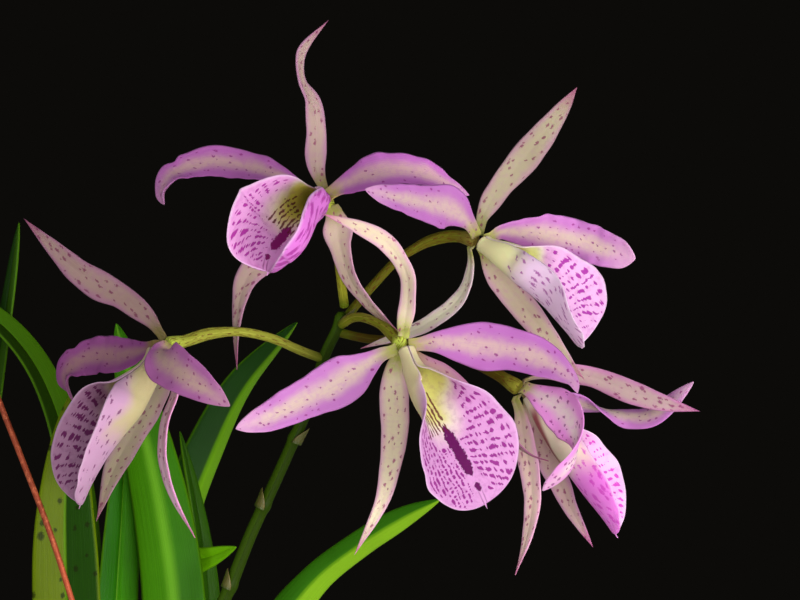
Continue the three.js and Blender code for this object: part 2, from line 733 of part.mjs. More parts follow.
// Rhizome, pseudobulbs and roots, which grew as one piece, made larger all round by a margin.
function growth(margin) {
  const bulbShape = (radius) => (u) => margin + radius
    * (0.42 + 0.58 * Math.sin(Math.PI * Math.min(1, u * 1.05) ** 0.8)) * (u > 0.97 ? 0.7 : 1);
  const creep = drawnOut(BULBS.map(({ foot: [x, y, z] }) => [x, y, z + 3]), margin);
  const rhizome = rod(creep, () => margin + 3.2, { steps: 8, sides: 6 });
  let body = toSolid(rhizome);
  for (const { foot, tip, radius } of BULBS) {
    const middle = foot.map((value, axis) => (value + tip[axis]) / 2 + [1, -1, 0][axis]);
    const bulb = rod(drawnOut([foot, middle, tip], margin), bulbShape(radius), { steps: 8, sides: 8 });
    body = body.add(toSolid(bulb));
  }
  for (const points of ROOTS) {
    const root = rod(drawnOut(points, margin), (u) => margin + 1.6 - 0.5 * u, { steps: 6, sides: 5 });
    body = body.add(toSolid(root));
  }
  return body;
}

// Bark: a plug of potting mix that fills the pot, with chips that stand out of its top.
function bark() {
  const clearance = GAP + 0.25;
  const points = [
    [0, POT_FLOOR + GAP], [potInnerRadius(POT_FLOOR) - 3 - clearance, POT_FLOOR + GAP],
    [potInnerRadius(POT_FLOOR + 3) - clearance, POT_FLOOR + 3 + GAP],
    [potInnerRadius(BARK_TOP) - clearance, BARK_TOP], [0, BARK_TOP],
  ].map(([radius, height]) => new THREE.Vector2(radius, height));
  let body = toSolid(new THREE.LatheGeometry(points, 28).rotateX(Math.PI / 2));
  const draw = draws(20);
  const goldenAngle = Math.PI * (3 - Math.sqrt(5));
  for (let chip = 0; chip < BARK_CHIPS; chip += 1) {
    const radius = 45.5 * Math.sqrt((chip + 0.5) / BARK_CHIPS);
    const angle = chip * goldenAngle;
    const size = [9 + 5 * draw(), 6 + 3 * draw(), 4 + 2.5 * draw()];
    const geometry = new THREE.BoxGeometry(...size)
      .rotateZ(2 * Math.PI * draw())
      .rotateX(0.7 * (draw() - 0.5))
      .rotateY(0.7 * (draw() - 0.5))
      .translate(radius * Math.cos(angle), radius * Math.sin(angle), BARK_TOP + 0.8 * draw());
    body = body.add(toSolid(geometry));
  }
  const wireHole = rod(drawnOut(WIRE.slice(0, 2), GAP), () => WIRE_RADIUS + GAP + 0.1, { steps: 1, sides: 8 });
  return fromSolid(largestBody(body.subtract(growth(GAP + 0.2)).subtract(toSolid(wireHole))));
}

// The stem with the small dry bract at each of its joints, larger all round by a margin.
function flowerStem(margin) {
  const path = curve(STEM);
  const shape = (u) => margin + STEM_RADIUS * (1.12 - 0.3 * u);
  let body = toSolid(rod(drawnOut(STEM, margin), shape, { steps: 26, sides: 8 }));
  for (const { at, round, length } of BRACTS) {
    const foot = path.getPointAt(at);
    const up = path.getTangentAt(at);
    const out = new THREE.Vector3(Math.cos(radians(round)), -0.35, 0).normalize();
    const place = (along, away) => foot.clone().addScaledVector(up, along).addScaledVector(out, away);
    const rows = [place(-1, 0.6), place(length * 0.4, 1.7), place(length, 2.3)];
    const spread = (u) => margin + 0.22 * length * (1 - 0.72 * u);
    const bract = rod(drawnOut(rows.map((row) => row.toArray()), margin), spread, { steps: 3, sides: 6 });
    body = body.add(toSolid(bract));
  }
  return body;
}

// The dry sheath round the stem's foot: a sleeve with a wall, open at both ends.
function sheath() {
  const path = curve(STEM);
  const length = path.getLength();
  const [start, end, wall, sides, rings] = [1.2 / length, 24 / length, 0.65, 10, 6];
  const outer = (u) => 3.45 - 0.3 * u;
  const vertices = [];
  const triangles = [];
  for (let ring = 0; ring < 2 * rings; ring += 1) {
    const inside = ring >= rings;
    const u = (inside ? 2 * rings - 1 - ring : ring) / (rings - 1);
    const t = path.getUtoTmapping(start + (end - start) * u);
    const tangent = path.getTangent(t);
    const forward = VIEWER.clone().addScaledVector(tangent, -VIEWER.dot(tangent)).normalize();
    for (let side = 0; side < sides; side += 1) {
      const spoke = forward.clone().applyAxisAngle(tangent, (2 * Math.PI * side) / sides);
      vertices.push(path.getPoint(t).addScaledVector(spoke, outer(u) - (inside ? wall : 0)));
      const next = (side + 1) % sides;
      const [a, b] = [ring * sides + side, ring * sides + next];
      const [c, d] = [b, a].map((corner) => (corner + sides) % (2 * rings * sides));
      triangles.push([a, b, c], [a, c, d]);
    }
  }
  return solid(vertices, triangles);
}

// A flower's stalk: it swells into the ovary and ends in the hub that carries the blades.
function stalk(points) {
  const radius = (u) => {
    const ovary = 0.35 * THREE.MathUtils.smoothstep(u, 0.55, 0.8);
    const hub = (HUB_RADIUS - STALK_RADIUS - 0.35) * THREE.MathUtils.smoothstep(u, 0.88, 0.97);
    return STALK_RADIUS + ovary + hub;
  };
  const body = toSolid(rod(points, radius, { steps: 14, sides: 8 }));
  return fromSolid(largestBody(body.subtract(flowerStem(GAP + 0.06))));
}

// A midline with its base in front: as given, or on a ring round the hub, before or behind it.
function withBase(midline, face, ring, layer, given) {
  const first = vector(midline[0]);
  const outward = first.addScaledVector(face, -first.dot(face)).normalize();
  const base = outward.multiplyScalar(ring).addScaledVector(face, layer).toArray();
  return [[...(given ?? base), ...midline[0].slice(3)], ...midline];
}

// The column: a short club that stands in the middle of the lip's tube.
function column(midline, width, origin) {
  const stations = spine(midline, origin, 36);
  const last = stations.findIndex(({ u, place }) => (
    u > 0 && place.distanceTo(stations[0].place) > COLUMN_LENGTH
  ));
  const points = [0, Math.round(last / 2), last].map((index) => {
    const { u, place, face, share } = stations[index];
    const tubeRadius = (width * share * stripShare(u)) / 2 / radians(TUBE_ROLL);
    return place.clone().addScaledVector(face, tubeRadius).toArray();
  });
  return rod(points, (u) => 0.55 + 0.5 * Math.sin(2.2 * u), { steps: 5, sides: 8 });
}

function bloom(group, name, { hub, face, ...organs }) {
  const origin = vector(hub);
  const facing = vector(face).normalize();
  for (const [organ, { width, midline, roll, base }] of Object.entries(organs)) {
    if (organ === 'lip') {
      const rows = withBase(midline, facing, LIP_DROP, LIP_START);
      add(group, `${name}_lip`, rolled({
        midline: rows, width, roll, origin, steps: 12, across: 10, thickness: LIP_THICKNESS,
      }), 'lip');
      add(group, `${name}_column`, column(rows, width, origin), 'column');
    } else {
      const petal = organ.endsWith('petal');
      add(group, `${name}_${organ}`, blade({
        midline: withBase(midline, facing, PETAL_RING, petal ? PETAL_LAYER : SEPAL_LAYER, base),
        width,
        outline: petal ? PETAL_OUTLINE : SEPAL_OUTLINE,
        origin,
        steps: 12,
        across: petal ? 4 : 2,
        cup: petal ? 0.14 : 0,
        keel: petal ? 0 : 0.2,
        thickness: TEPAL_THICKNESS,
      }), petal ? 'petal' : 'sepal');
    }
  }
}

const orchid = new THREE.Group();
add(orchid, 'pot', pot(), 'clay');
add(orchid, 'potting_bark', bark(), 'bark');
add(orchid, 'pseudobulbs_and_roots', fromSolid(growth(0)), 'growth');
for (const [name, { width, midline, keel = 0.3 }] of Object.entries(LEAVES)) {
  add(orchid, name, blade({
    midline, width, outline: LEAF_OUTLINE, origin: new THREE.Vector3(), steps: 11, across: 4, keel,
    thickness: LEAF_THICKNESS,
  }), name === 'leaf_lime' ? 'limeLeaf' : 'leaf');
}
add(orchid, 'flower_stem', fromSolid(flowerStem(0)), 'stem');
add(orchid, 'stem_sheath', sheath(), 'sheath');
for (const [name, points] of Object.entries(STALKS)) {
  add(orchid, `${name}_stalk`, stalk(points), 'stalk');
}
for (const [name, parts] of Object.entries(BLOOMS)) bloom(orchid, name, parts);

const wirePath = curve(WIRE);
const wireSection = new THREE.Shape(
  Array.from({ length: 8 }, (_, corner) => new THREE.Vector2(
    WIRE_RADIUS * Math.cos((corner * Math.PI) / 4), WIRE_RADIUS * Math.sin((corner * Math.PI) / 4),
  )),
);
add(orchid, 'support_wire', new THREE.ExtrudeGeometry(wireSection, {
  extrudePath: wirePath, steps: 18, curveSegments: 1,
}), 'copper');

export default orchid;
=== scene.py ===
# Potted brassanthe orchid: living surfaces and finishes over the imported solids.
# The tables are in millimetres, +Z up, +X right, +Y away from the viewer, like the solids they cover.
import math

import bpy
import numpy as np
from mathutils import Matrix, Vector


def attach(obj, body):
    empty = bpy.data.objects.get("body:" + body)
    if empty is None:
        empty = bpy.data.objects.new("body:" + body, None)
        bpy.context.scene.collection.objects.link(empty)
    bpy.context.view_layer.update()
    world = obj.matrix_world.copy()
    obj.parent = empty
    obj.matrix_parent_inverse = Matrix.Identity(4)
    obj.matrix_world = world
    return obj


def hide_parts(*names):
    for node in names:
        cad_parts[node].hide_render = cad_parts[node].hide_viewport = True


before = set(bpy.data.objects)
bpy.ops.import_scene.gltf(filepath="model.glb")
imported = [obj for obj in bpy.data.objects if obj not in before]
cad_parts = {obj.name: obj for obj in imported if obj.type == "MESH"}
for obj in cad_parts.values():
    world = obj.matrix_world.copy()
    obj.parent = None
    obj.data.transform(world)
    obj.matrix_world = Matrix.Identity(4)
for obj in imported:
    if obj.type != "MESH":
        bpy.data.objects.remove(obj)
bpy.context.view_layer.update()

MM = 0.001
VIEWER = np.array([0.0, -1.0, 0.0])
UP = np.array([0.0, 0.0, 1.0])

# Driving dimensions, shared with the solids.
POT_HEIGHT = 105
POT_FOOT_RADIUS = 42
POT_RIM_RADIUS = 61
POT_WALL = 5
POT_FLOOR = 7
POT_BAND = 21
DRAIN_RADIUS = 4
DRAIN_CIRCLE = 23
BARK_TOP = 91
TEPAL_THICKNESS = 0.7
LIP_THICKNESS = 0.75
LEAF_THICKNESS = 1.4
STEM_RADIUS = 1.7
STALK_RADIUS = 1.15
HUB_RADIUS = 2.0
PETAL_RING = 2.9
LIP_START = 2.45
LIP_DROP = 1.7
CLOSED_ROLL = 178
STRIP_BASE = 0.33
THROAT = 0.45
ROUND_FROM = 0.62
CUSP = 0.032
COLUMN_LENGTH = 9
WIRE_RADIUS = 0.75

# Outline of a blade: its width rises from the base's share, then tapers to the tip.
SEPAL_OUTLINE = {"base": 0.42, "rise": 0.22, "taper": 2.4, "point": 1.1}
PETAL_OUTLINE = {"base": 0.26, "rise": 0.42, "taper": 3.4, "point": 0.8}
LEAF_OUTLINE = {"base": 0.42, "rise": 0.45, "taper": 4.5, "point": 0.75}

# How far before the hub the bases of petals lie, and behind it those of sepals, how sharply a lip creases
# along its middle, and how far a leaf runs back into its bulb.
SEPAL_LAYER = -0.9
PETAL_LAYER = 0.6
CREASE_SHARPNESS = 4
LEAF_RUN_IN = 3

# Small parts that the photo doesn't show: how high the bulbs' sheaths reach, in shares of each bulb, where
# the bulbs have joints, and the bark's chips from their shortest to their longest on each axis.
SHEATH_TOPS = (0.36, 0.44, 0.3, 0.4, 0.5, 0.34)
BULB_JOINTS = (0.34, 0.62, 0.86)
RHIZOME_LIFT = 3
BED_RADIUS = 48.5
CHIP_COUNT = 420
CHIP_SIZES = ((3.2, 7), (2.2, 4.2), (1.1, 2.3))

# How finely surfaces are worked out, and the sizes of the drain holes' cutters and of the floor.
SMALL_STEP = 2e-4
CURVE_STEPS = 1600
SLEEVE_STEPS = 400
RUN_IN_ROWS = 4
DRAIN_CUT = (-3, 12)
DRAIN_SIDES = 40
FLOOR_RADIUS = 1500
FLOOR_RINGS = 24
FLOOR_SIDES = 96
NO_TRIS = np.zeros((0, 3), int)

# The stage: the spot that the lamps aim at and the camera's place in metres, its lens in millimetres.
AIM = (0.1, 0.0, 0.28)
ROOM_LIGHT = 0.17
CAMERA_PLACE = (0.0625, -1.22, 0.295)
SENSOR_WIDTH = 36
FOCAL_LENGTH = 216

# Each bloom: its hub, the way it faces, and each blade's midline from the hub, as rows of right,
# away, up, the blade's turn about its midline in degrees and, where given, a width share.
BLOOMS = {
    "flower_1": {
        "hub": [43.75, -10, 320], "face": [-0.7, -0.66, -0.2],
        "dorsal_sepal": {"width": 6.2, "midline": [
            [-2.5, 2, 9, 20], [-2.4, 1, 18, 25, 0.94], [-3.4, -1, 24.8, 45, 1.15],
            [-5.9, -3, 29.8, 62, 0.9], [-6.5, -3, 35, 50], [-5.1, -2, 39, 40, 1.2], [0.7, 2, 45.7, 35],
        ]},
        "left_petal": {"width": 10.5, "midline": [
            [-12.6, 4, 6.6, 45], [-20.5, 7, 8.9, 40], [-28, 8, 10.1, 35, 1.04], [-34.5, 7, 8.8, 35, 1.02],
            [-39.3, 4, 6.5, 45, 1.3], [-41.2, 1, 2.4, 60, 1.5], [-40.6, -2, -0.9, 80, 2],
        ]},
        "right_petal": {"width": 10.2, "midline": [
            [4.25, -2, 3.6, -40, 1.6], [10.25, -5, 6.4, -38, 1.28], [17, -6, 7.7, -35, 1.06],
            [24.4, -5, 7, -32], [30.8, -2, 4.2, -35, 0.85], [36.2, 1, 1.4, -40],
        ]},
        "left_lateral_sepal": {"width": 7.8, "midline": [
            [-7.3, 3.5, -8.6, 0, 0.76], [-14, 4, -13.4, 0, 1.06], [-19.4, 3, -18.6, 10],
            [-21.6, 1, -25, 30, 0.9], [-22.5, -1, -33, 45, 0.85], [-22.25, -3, -42.6, 55],
        ], "base": [-2.0, 1.2, -2.0]},
        "right_lateral_sepal": {"width": 7.6, "midline": [
            [2.9, -1.5, -6, 0, 1.35], [3.85, -2, -12, 30, 0.87], [6.25, -2.5, -19.5, 52],
            [9.6, -3.5, -24.4, 58, 1.15], [13.7, -4.5, -28.8, 60, 1.5], [18.35, -5, -32.9, 60],
        ], "base": [1.9, -0.6, -2.5]},
        "lip": {"width": 39, "midline": [
            [-2.2, -7, -2.8, 45, 0.86], [-4.6, -14.2, -4.6, 38, 0.7], [-6.8, -20.3, -6.6, 30, 0.8],
            [-9.6, -23.6, -10.3, 22, 1], [-12.8, -24.6, -14.2, 16, 1.04], [-14.1, -24.6, -19, 12, 1],
        ], "roll": [
            [165, 165], [165, 165], [156, 158], [96, 138], [66, 126], [62, 122], [64, 124],
        ]},
    },
    "flower_2": {
        "hub": [82, -14, 310], "face": [0.66, -0.66, -0.36],
        "dorsal_sepal": {"width": 8.4, "midline": [
            [1.7, 3, 6.9, 10, 0.68], [5.9, 5, 13.8, 15, 0.77], [11.1, 6, 19.9, 5, 1.1],
            [15.2, 5, 24.8, 5, 1.28], [19.6, 4, 30.8, 20, 1.5], [25.1, 2, 38.6, 25, 2.2],
        ], "base": [0.6, 1.4, 2.7]},
        "left_petal": {"width": 11.5, "midline": [
            [-2.4, -4, 4.4, -10], [-6.8, -9, 7.7, 0, 1.12], [-13.3, -15, 9, 5, 0.86],
            [-20.2, -21, 10.3, 10, 0.84], [-28.1, -27, 12.2, 10],
        ]},
        "right_petal": {"width": 11.5, "midline": [
            [6.75, 3, 2.4, 35], [13, 4.5, 2, 30], [20, 5, 1.4, 18], [27, 4, -0.4, 10, 1.1],
            [34, 1, -2.75, 15, 1.45], [39.6, -1, -4.6, 30, 2.6],
        ], "base": [2.7, 0.3, 0.6]},
        "left_lateral_sepal": {"width": 7, "midline": [
            [-1.6, 3, -6, 66, 0.8], [-2.5, 5, -11, 62, 0.8], [-5.2, 6, -15.5, 45, 0.8],
            [-10, 5, -19.4, 35, 0.82], [-17, 2, -23.1, 28, 0.9], [-29.5, -3, -27.2, 40],
        ], "base": [-2.0, 1.2, -2.0]},
        "right_lateral_sepal": {"width": 8.4, "midline": [
            [3.9, 4, -6.9, 0, 0.85], [7.6, 6, -11.8, 0, 0.88], [12.6, 6.5, -17.9, 0, 0.97],
            [17.9, 4.5, -24.6, 5], [23.2, 0.5, -30.9, 10], [26.8, -3, -35, 10],
        ], "base": [1.6, 1.6, -2.4]},
        "lip": {"width": 34, "midline": [
            [4.6, -4.5, -5.2, -50, 1.1], [8.9, -7.5, -9, -55, 0.86], [13.9, -9.7, -13.1, -58, 0.86],
            [18.9, -10.4, -17.8, -58, 1.02], [23.2, -9.8, -22.5, -58, 1.18], [26, -8.6, -27.1, -58, 1.18],
        ], "roll": [
            [165, 165], [165, 165], [158, 150], [116, 76], [66, 50], [54, 40], [52, 34],
        ]},
    },
    "flower_3": {
        "hub": [63, -30, 283.75], "face": [0.25, -0.94, -0.2],
        "dorsal_sepal": {"width": 6.4, "midline": [
            [0.5, 2, 5, 0, 1.1], [1.5, 2, 11, -30, 0.76], [1.4, 0.5, 17, -38, 0.82],
            [-0.8, -1.5, 21.6, -20, 0.82], [-4.6, -3.5, 26, 0, 1.1], [-11.2, -6, 29.4, 10, 1.3],
            [-19.6, -8.3, 32.5, 20, 1.3],
        ]},
        "left_petal": {"width": 12, "midline": [
            [-5.6, 0, -2.6, 10], [-11.7, 0.4, -6.8, 5, 1.16], [-18.5, 0.4, -10.7, 5, 1.02],
            [-26.1, -0.4, -14.3, 5, 0.94], [-33.2, -1.8, -17.8, 8, 1.02], [-41.1, -4, -20.6, 10, 1.3],
        ]},
        "right_petal": {"width": 12, "midline": [
            [9.5, 0.5, 0.7, -5, 1.1], [19.4, 1, -0.1, 0, 1.05], [28.5, 0, -1.2, 0],
            [36, -2, -4.2, -12, 1.04], [41.5, -4.5, -8.2, -28, 0.9], [43.3, -7, -11.7, -35],
        ]},
        "left_lateral_sepal": {"width": 7.9, "midline": [
            [-2.1, 2.5, -6.5, 0], [-2, 2.5, -13.75, 0, 0.98], [-1.85, 1, -22, 0, 0.94],
            [-3, -1, -30.5, 0, 0.9], [-5.3, -3, -39.3, 5, 0.88], [-11.75, -5, -51.7, 15],
        ]},
        "right_lateral_sepal": {"width": 6.6, "midline": [
            [6.6, 3.5, -5.5, 0], [12.6, 6, -9.9, 0], [20.2, 7, -16.8, 20], [27, 6, -23.25, 50],
            [32, 4, -27.2, 78], [36.5, 2, -28.8, 88],
        ]},
        "lip": {"width": 33, "midline": [
            [2.8, -5.5, -7.6, -20], [6.4, -9, -14, -25, 0.88], [10.2, -11, -20.4, -27, 0.9],
            [14.5, -11.7, -27.5, -27], [18.3, -11.3, -34.2, -27], [21, -10.3, -40.1, -27],
        ], "roll": [
            [165, 165], [165, 162], [138, 120], [60, 42], [34, 20], [26, 14], [22, 12],
        ]},
    },
    "flower_4": {
        "hub": [92.75, -14, 272.5], "face": [0.82, -0.36, -0.44],
        "dorsal_sepal": {"width": 7.4, "midline": [
            [3.5, 3, 3.1, 80], [7.5, 4.5, 3.7, 74], [12, 5, 3.9, 48], [18.5, 4.5, 3, 24, 0.86],
            [27.1, 2, -0.3, 10, 1.2], [36.1, -1, -3.4, 12, 1.5], [44.9, -3, -5.4, 20, 1.8],
        ]},
        "far_petal": {"width": 9.5, "midline": [
            [6, 6, -1.6, 50], [11, 10, -2.6, 50], [16, 12.5, -3.9, 60], [21.5, 13, -5.6, 92],
            [27.75, 12, -7.3, 130, 0.87], [34.6, 9, -6.2, 140], [43.9, 5, 1.9, 150],
        ]},
        "near_petal": {"width": 11.5, "midline": [
            [4.75, -7.3, -1.4, -15, 1.12], [9.25, -12, -4.4, 5], [12.6, -16.5, -8.6, 40],
            [13.4, -18.5, -13.5, 85], [11.2, -18.5, -18.6, 120], [5, -16.5, -24.8, 145],
        ], "base": [0.9, -2.9, 0.6]},
        "left_lateral_sepal": {"width": 6.8, "midline": [
            [0.3, 1.5, -7, 45], [1, 1, -13, 40, 1.05], [2.4, 0, -20, 32], [3, -1, -29, 38, 1.07],
            [1.5, 0, -38, 50, 1.25], [-1.25, 2, -46.75, 55],
        ], "base": [-1.2, 1.4, -2.6]},
        "right_lateral_sepal": {"width": 7.6, "midline": [
            [3.5, 4.5, -8.75, 0], [6.75, 7, -16.25, 0], [10, 7.5, -23.5, 10], [13.4, 6.5, -31, 20, 1.1],
            [18.4, 4, -39.8, 30, 1.4],
        ], "base": [2.2, 2.6, -1.6]},
        "lip": {"width": 25.4, "midline": [
            [3.6, -2.6, -7.6, -65, 1.1], [7.4, -3.6, -13.8, -68, 1.05], [11.5, -4.2, -19.7, -68, 0.96],
            [16.1, -4, -25.8, -68, 1.04], [20.8, -3.2, -31.8, -68, 0.9], [24.4, -2.2, -37.2, -68, 0.76],
        ], "roll": [
            [165, 165], [165, 165], [155, 150], [106, 84], [78, 62], [74, 60], [70, 58],
        ]},
    },
    "flower_5": {
        "hub": [4.25, -24, 283.75], "face": [-0.72, -0.5, -0.48],
        "dorsal_sepal": {"width": 8.6, "midline": [
            [-4.6, 3, 6.7, 5, 0.64], [-11.3, 4, 12, 10, 0.76], [-17, 3.5, 14.9, 6, 1.04],
            [-22.7, 2, 18.9, 0, 1.07], [-28.4, 0, 24.5, 0, 1.06], [-35.4, -2, 31.6, 0],
        ]},
        "far_petal": {"width": 11, "midline": [
            [-6.6, 4.2, -1.6, 20, 1], [-13, 9, -2.6, 20, 0.92], [-18.75, 12.5, -2.85, 18],
            [-23.5, 14, -4.6, 25], [-26.2, 14, -8.2, 55, 1.1], [-24.2, 11, -14, 110, 1.3],
        ], "base": [-2.8, 0.45, 0.0]},
        "near_petal": {"width": 11, "midline": [
            [-0.8, -8, -1.2, 10, 1.05], [0.1, -15.5, -3.7, 5, 1.08], [6.2, -24, -7.4, 0, 1.05],
            [17, -32, -14.5, 0],
        ]},
        "left_lateral_sepal": {"width": 8.2, "midline": [
            [-2.2, 6.2, -8, 0], [-5.2, 8.5, -15.5, 0], [-9.2, 9, -23, 5], [-13.5, 7.5, -31.4, 12, 1.25],
            [-17.75, 4.5, -44.25, 20],
        ], "base": [-0.6, 3.0, -2.1]},
        "right_lateral_sepal": {"width": 6, "midline": [
            [1.9, 1.2, -7, 62], [2.1, 1.8, -12, 66, 0.85], [-0.2, 1.2, -19, 62, 0.85],
            [-0.95, 0.6, -27, 60], [1.25, -0.5, -36.5, 63, 1.35], [7.3, -2, -48, 66],
        ], "base": [2.1, 0.6, -2.2]},
        "lip": {"width": 30, "midline": [
            [-2.6, -3.8, -8.2, 50, 1.35], [-6.4, -5.6, -15.4, 55, 1.25], [-11, -6.8, -21.8, 56, 1.06],
            [-15.6, -6.9, -28, 56], [-19.2, -6.2, -34.4, 56, 1.03], [-21.4, -5.2, -40.6, 56],
        ], "roll": [
            [165, 165], [165, 165], [155, 152], [92, 96], [60, 74], [50, 64], [46, 58],
        ]},
    },
}
# Pseudobulbs: foot, tip and greatest radius.
BULBS = [
    {"foot": [-34, 1, 88], "tip": [-40, -4, 124], "radius": 5.0},
    {"foot": [-24, 6, 88], "tip": [-28, 12, 150], "radius": 5.6},
    {"foot": [-13, 3, 88], "tip": [-15, 1, 158], "radius": 5.8},
    {"foot": [-2, 5, 88], "tip": [0, 6, 165], "radius": 6.0},
    {"foot": [9, 8, 88], "tip": [11, 14, 155], "radius": 5.8},
    {"foot": [20, 6, 88], "tip": [25, 9, 140], "radius": 5.2},
]
# Roots: rows of points, right, away, up.
ROOTS = [
    [[-24, 4, 92], [-22, -6, 95], [-18, -16, 95.5], [-20, -27, 94], [-26, -34, 88]],
    [[-2, 4, 92], [0, -6, 96], [3, -15, 96.5], [1, -25, 95], [-4, -35, 88]],
    [[9, 7, 92], [16, -3, 95.5], [24, -10, 95.5], [31, -20, 93], [33, -28, 86]],
    [[20, 8, 92], [28, 17, 95], [33, 26, 94], [31, 34, 87]],
    [[-13, 4, 92], [-14, 16, 95.5], [-19, 26, 95], [-24, 33, 87]],
]
# Leaves: the midline in the pot's frame, as rows of right, away, up and turn.
LEAVES = {
    "leaf_far_left": {"width": 7, "midline": [
        [-40.4, -2.6, 125.2, 60], [-46, 8, 160, 20], [-50, 26, 205, -20], [-47, 35, 245, -30],
        [-42.3, 37, 280, -30], [-39.4, 37, 300, -30, 1.2], [-37.2, 36, 315.4, -30, 1.5],
    ]},
    "leaf_arching": {"width": 12, "midline": [
        [-24, 12.8, 147.5, -75], [-20.5, 21, 185, 10], [-20.3, 26, 222, 30], [-23, 28, 252, 42],
        [-29.6, 29, 273.2, 50], [-40, 29, 287.6, 50], [-54, 28, 296, 50], [-74, 26, 298.5, 50],
    ]},
    "leaf_lime": {"width": 18.2, "midline": [
        [-18.9, 1, 155.5, 75], [-19.6, 0, 185, 15], [-22.2, 3, 212, 0], [-23, 4, 236, 5],
        [-22.4, 4, 256, 8], [-21.4, 4, 271, 10],
    ]},
    "leaf_dark": {"width": 12, "midline": [
        [-11.2, 2.4, 155.5, -60], [-12, 13, 188, 0], [-10.5, 19, 220, 20], [-9.2, 21, 245, 20],
        [-9, 21, 264, 20],
    ]},
    "leaf_broad": {"width": 16.5, "keel": -0.22, "midline": [
        [-2.8, 10.4, 162.5, 0], [2.5, 11.6, 190, 0], [4.6, 13, 214, 0], [1.2, 15, 240, -5],
        [-4.4, 17, 265, -5], [-10.75, 19, 289, -5],
    ]},
    "leaf_narrow": {"width": 7.5, "midline": [
        [4.9, 9.8, 162.5, 50], [5.7, 17.6, 181, 50], [10.8, 23, 196, 50], [13, 25.2, 214, 50],
        [10.6, 25, 236, 50], [5.5, 23.5, 261, 50],
    ]},
    "leaf_leaning": {"width": 15.6, "keel": -0.5, "midline": [
        [9.6, 19.3, 151.5, 25], [5.8, 27, 186, 42], [2.8, 31, 214, 42], [5.2, 33, 236, 42],
        [12.2, 34, 255.5, 42], [21.2, 34.5, 273, 42], [35.6, 35, 289.3, 42],
    ]},
    "leaf_small": {"width": 12, "midline": [
        [15.9, 12.4, 151.8, -60], [13.2, 15, 178, 0], [5.2, 18.2, 204, 10], [2.4, 20, 216, 10],
        [5.2, 20.5, 224, 5], [9.5, 19.6, 227.4, 0], [14, 16.8, 229, 0], [20.5, 12.6, 231.6, 0],
    ]},
    "leaf_right": {"width": 12, "keel": -0.45, "midline": [
        [25.2, 13.5, 136.5, 0], [25, 14.5, 166, 0], [26.5, 15, 193, 0], [31.5, 14, 210.5, 0, 0.94],
        [40.6, 11, 223.2, 0, 0.78], [52.3, 7, 232.6, 0, 0.84], [63.2, 3, 239.5, 0, 1.05],
        [72.8, -1, 244.4, 0],
    ]},
}
# Flower stem, stalks and support wire: rows of points.
STEM = [
    [0.4, 5.2, 165.8], [3, 5, 181], [8.3, 5, 197.5], [13.5, 4, 210], [19, 3, 221.5], [24.6, 1, 235.5],
    [30.3, -1, 247.8], [35.8, -3, 260], [40.2, -4.5, 270.3], [43.3, -6, 280.5], [46.3, -7.2, 287],
    [48.3, -8, 292],
]
STALKS = {
    "flower_1": [
        [48.5, -8, 293], [47.6, -5.5, 300], [46.7, -3.5, 307], [45.8, -4, 314.5], [43.75, -10, 320],
    ],
    "flower_2": [
        [48.4, -6.7, 289.8], [51.2, -4.8, 293.5], [56.2, -5, 299.3], [61, -6, 304.4], [65, -7, 307.3],
        [70, -8.5, 309.9], [76, -10.5, 311.1], [82, -14, 310],
    ],
    "flower_3": [
        [47.4, -8.4, 288.6], [50.6, -12, 290.5], [54, -16.5, 290.4], [58.6, -22.5, 288.2],
        [63, -30, 283.75],
    ],
    "flower_4": [
        [46.2, -7, 287], [54.5, -6, 285.2], [66, -6, 284.2], [77, -8, 281.2], [86, -11, 276.9],
        [92.75, -14, 272.5],
    ],
    "flower_5": [
        [43.2, -6, 280], [37.5, -8, 282.2], [30, -11, 285.4], [22.5, -14, 287], [15, -18, 286.6],
        [9, -21, 284.8], [4.25, -24, 283.75],
    ],
}
WIRE = [
    [8, -24, 84], [3, -23, 118], [-5.5, -21, 158], [-13.2, -19, 195], [-17.4, -18, 212],
    [-21.2, -17.2, 224.5], [-25.4, -16.4, 237], [-31.2, -15.2, 252], [-37.6, -14, 268], [-42.4, -13, 280],
    [-46, -12, 290],
]
# Bracts on the flower stem: share of its length, the way each points round it, and its length.
BRACTS = [
    {"at": 0.44, "round": 200, "length": 4},
    {"at": 0.605, "round": 165, "length": 4.2},
    {"at": 0.745, "round": 20, "length": 4},
    {"at": 0.985, "round": 10, "length": 4.5},
]

# How the surface of a blade runs: how far it cups, keels and clasps at its base, how deep the groove along
# its midrib is, how deep and in how many waves its margins ruffle, and any notch: its share of the length,
# its depth and the margin it cuts, the right one 0 and the left one 1. The last four keys give its counts of
# points and how it runs back: to the hub or straight on, less the share that is left out.
SEPAL_FORM = {
    "outline": SEPAL_OUTLINE, "thickness": TEPAL_THICKNESS, "cup": 0, "keel": 0.12, "clasp": 0, "rib": 0.05,
    "ruffle": 0.25, "waves": 3, "notch": None, "rows": 76, "columns": 17, "to_hub": True, "run_in": 0.55,
}
PETAL_FORM = {**SEPAL_FORM, "outline": PETAL_OUTLINE, "cup": 0.14, "keel": 0, "ruffle": 0.45}
LEAF_FORM = {
    "outline": LEAF_OUTLINE, "thickness": LEAF_THICKNESS, "cup": 0, "keel": 0.3, "clasp": 0.5, "rib": 0.35,
    "ruffle": 0.35, "waves": 1.6, "notch": None, "rows": 110, "columns": 21, "to_hub": False, "run_in": 0,
}
OWN_FORM = {
    "flower_1_left_petal": {"ruffle": 0.6, "waves": 4, "notch": (0.74, 0.32, 1)},
    "flower_1_right_petal": {"ruffle": 0.6, "waves": 4},
    "flower_2_right_petal": {"ruffle": 0.8, "waves": 5},
    "flower_2_left_petal": {"ruffle": 0.6, "waves": 4},
    "flower_3_left_petal": {"ruffle": 0.6, "waves": 4},
    "flower_5_far_petal": {"ruffle": 0.8, "waves": 5, "notch": (0.66, 0.2, 1)},
}


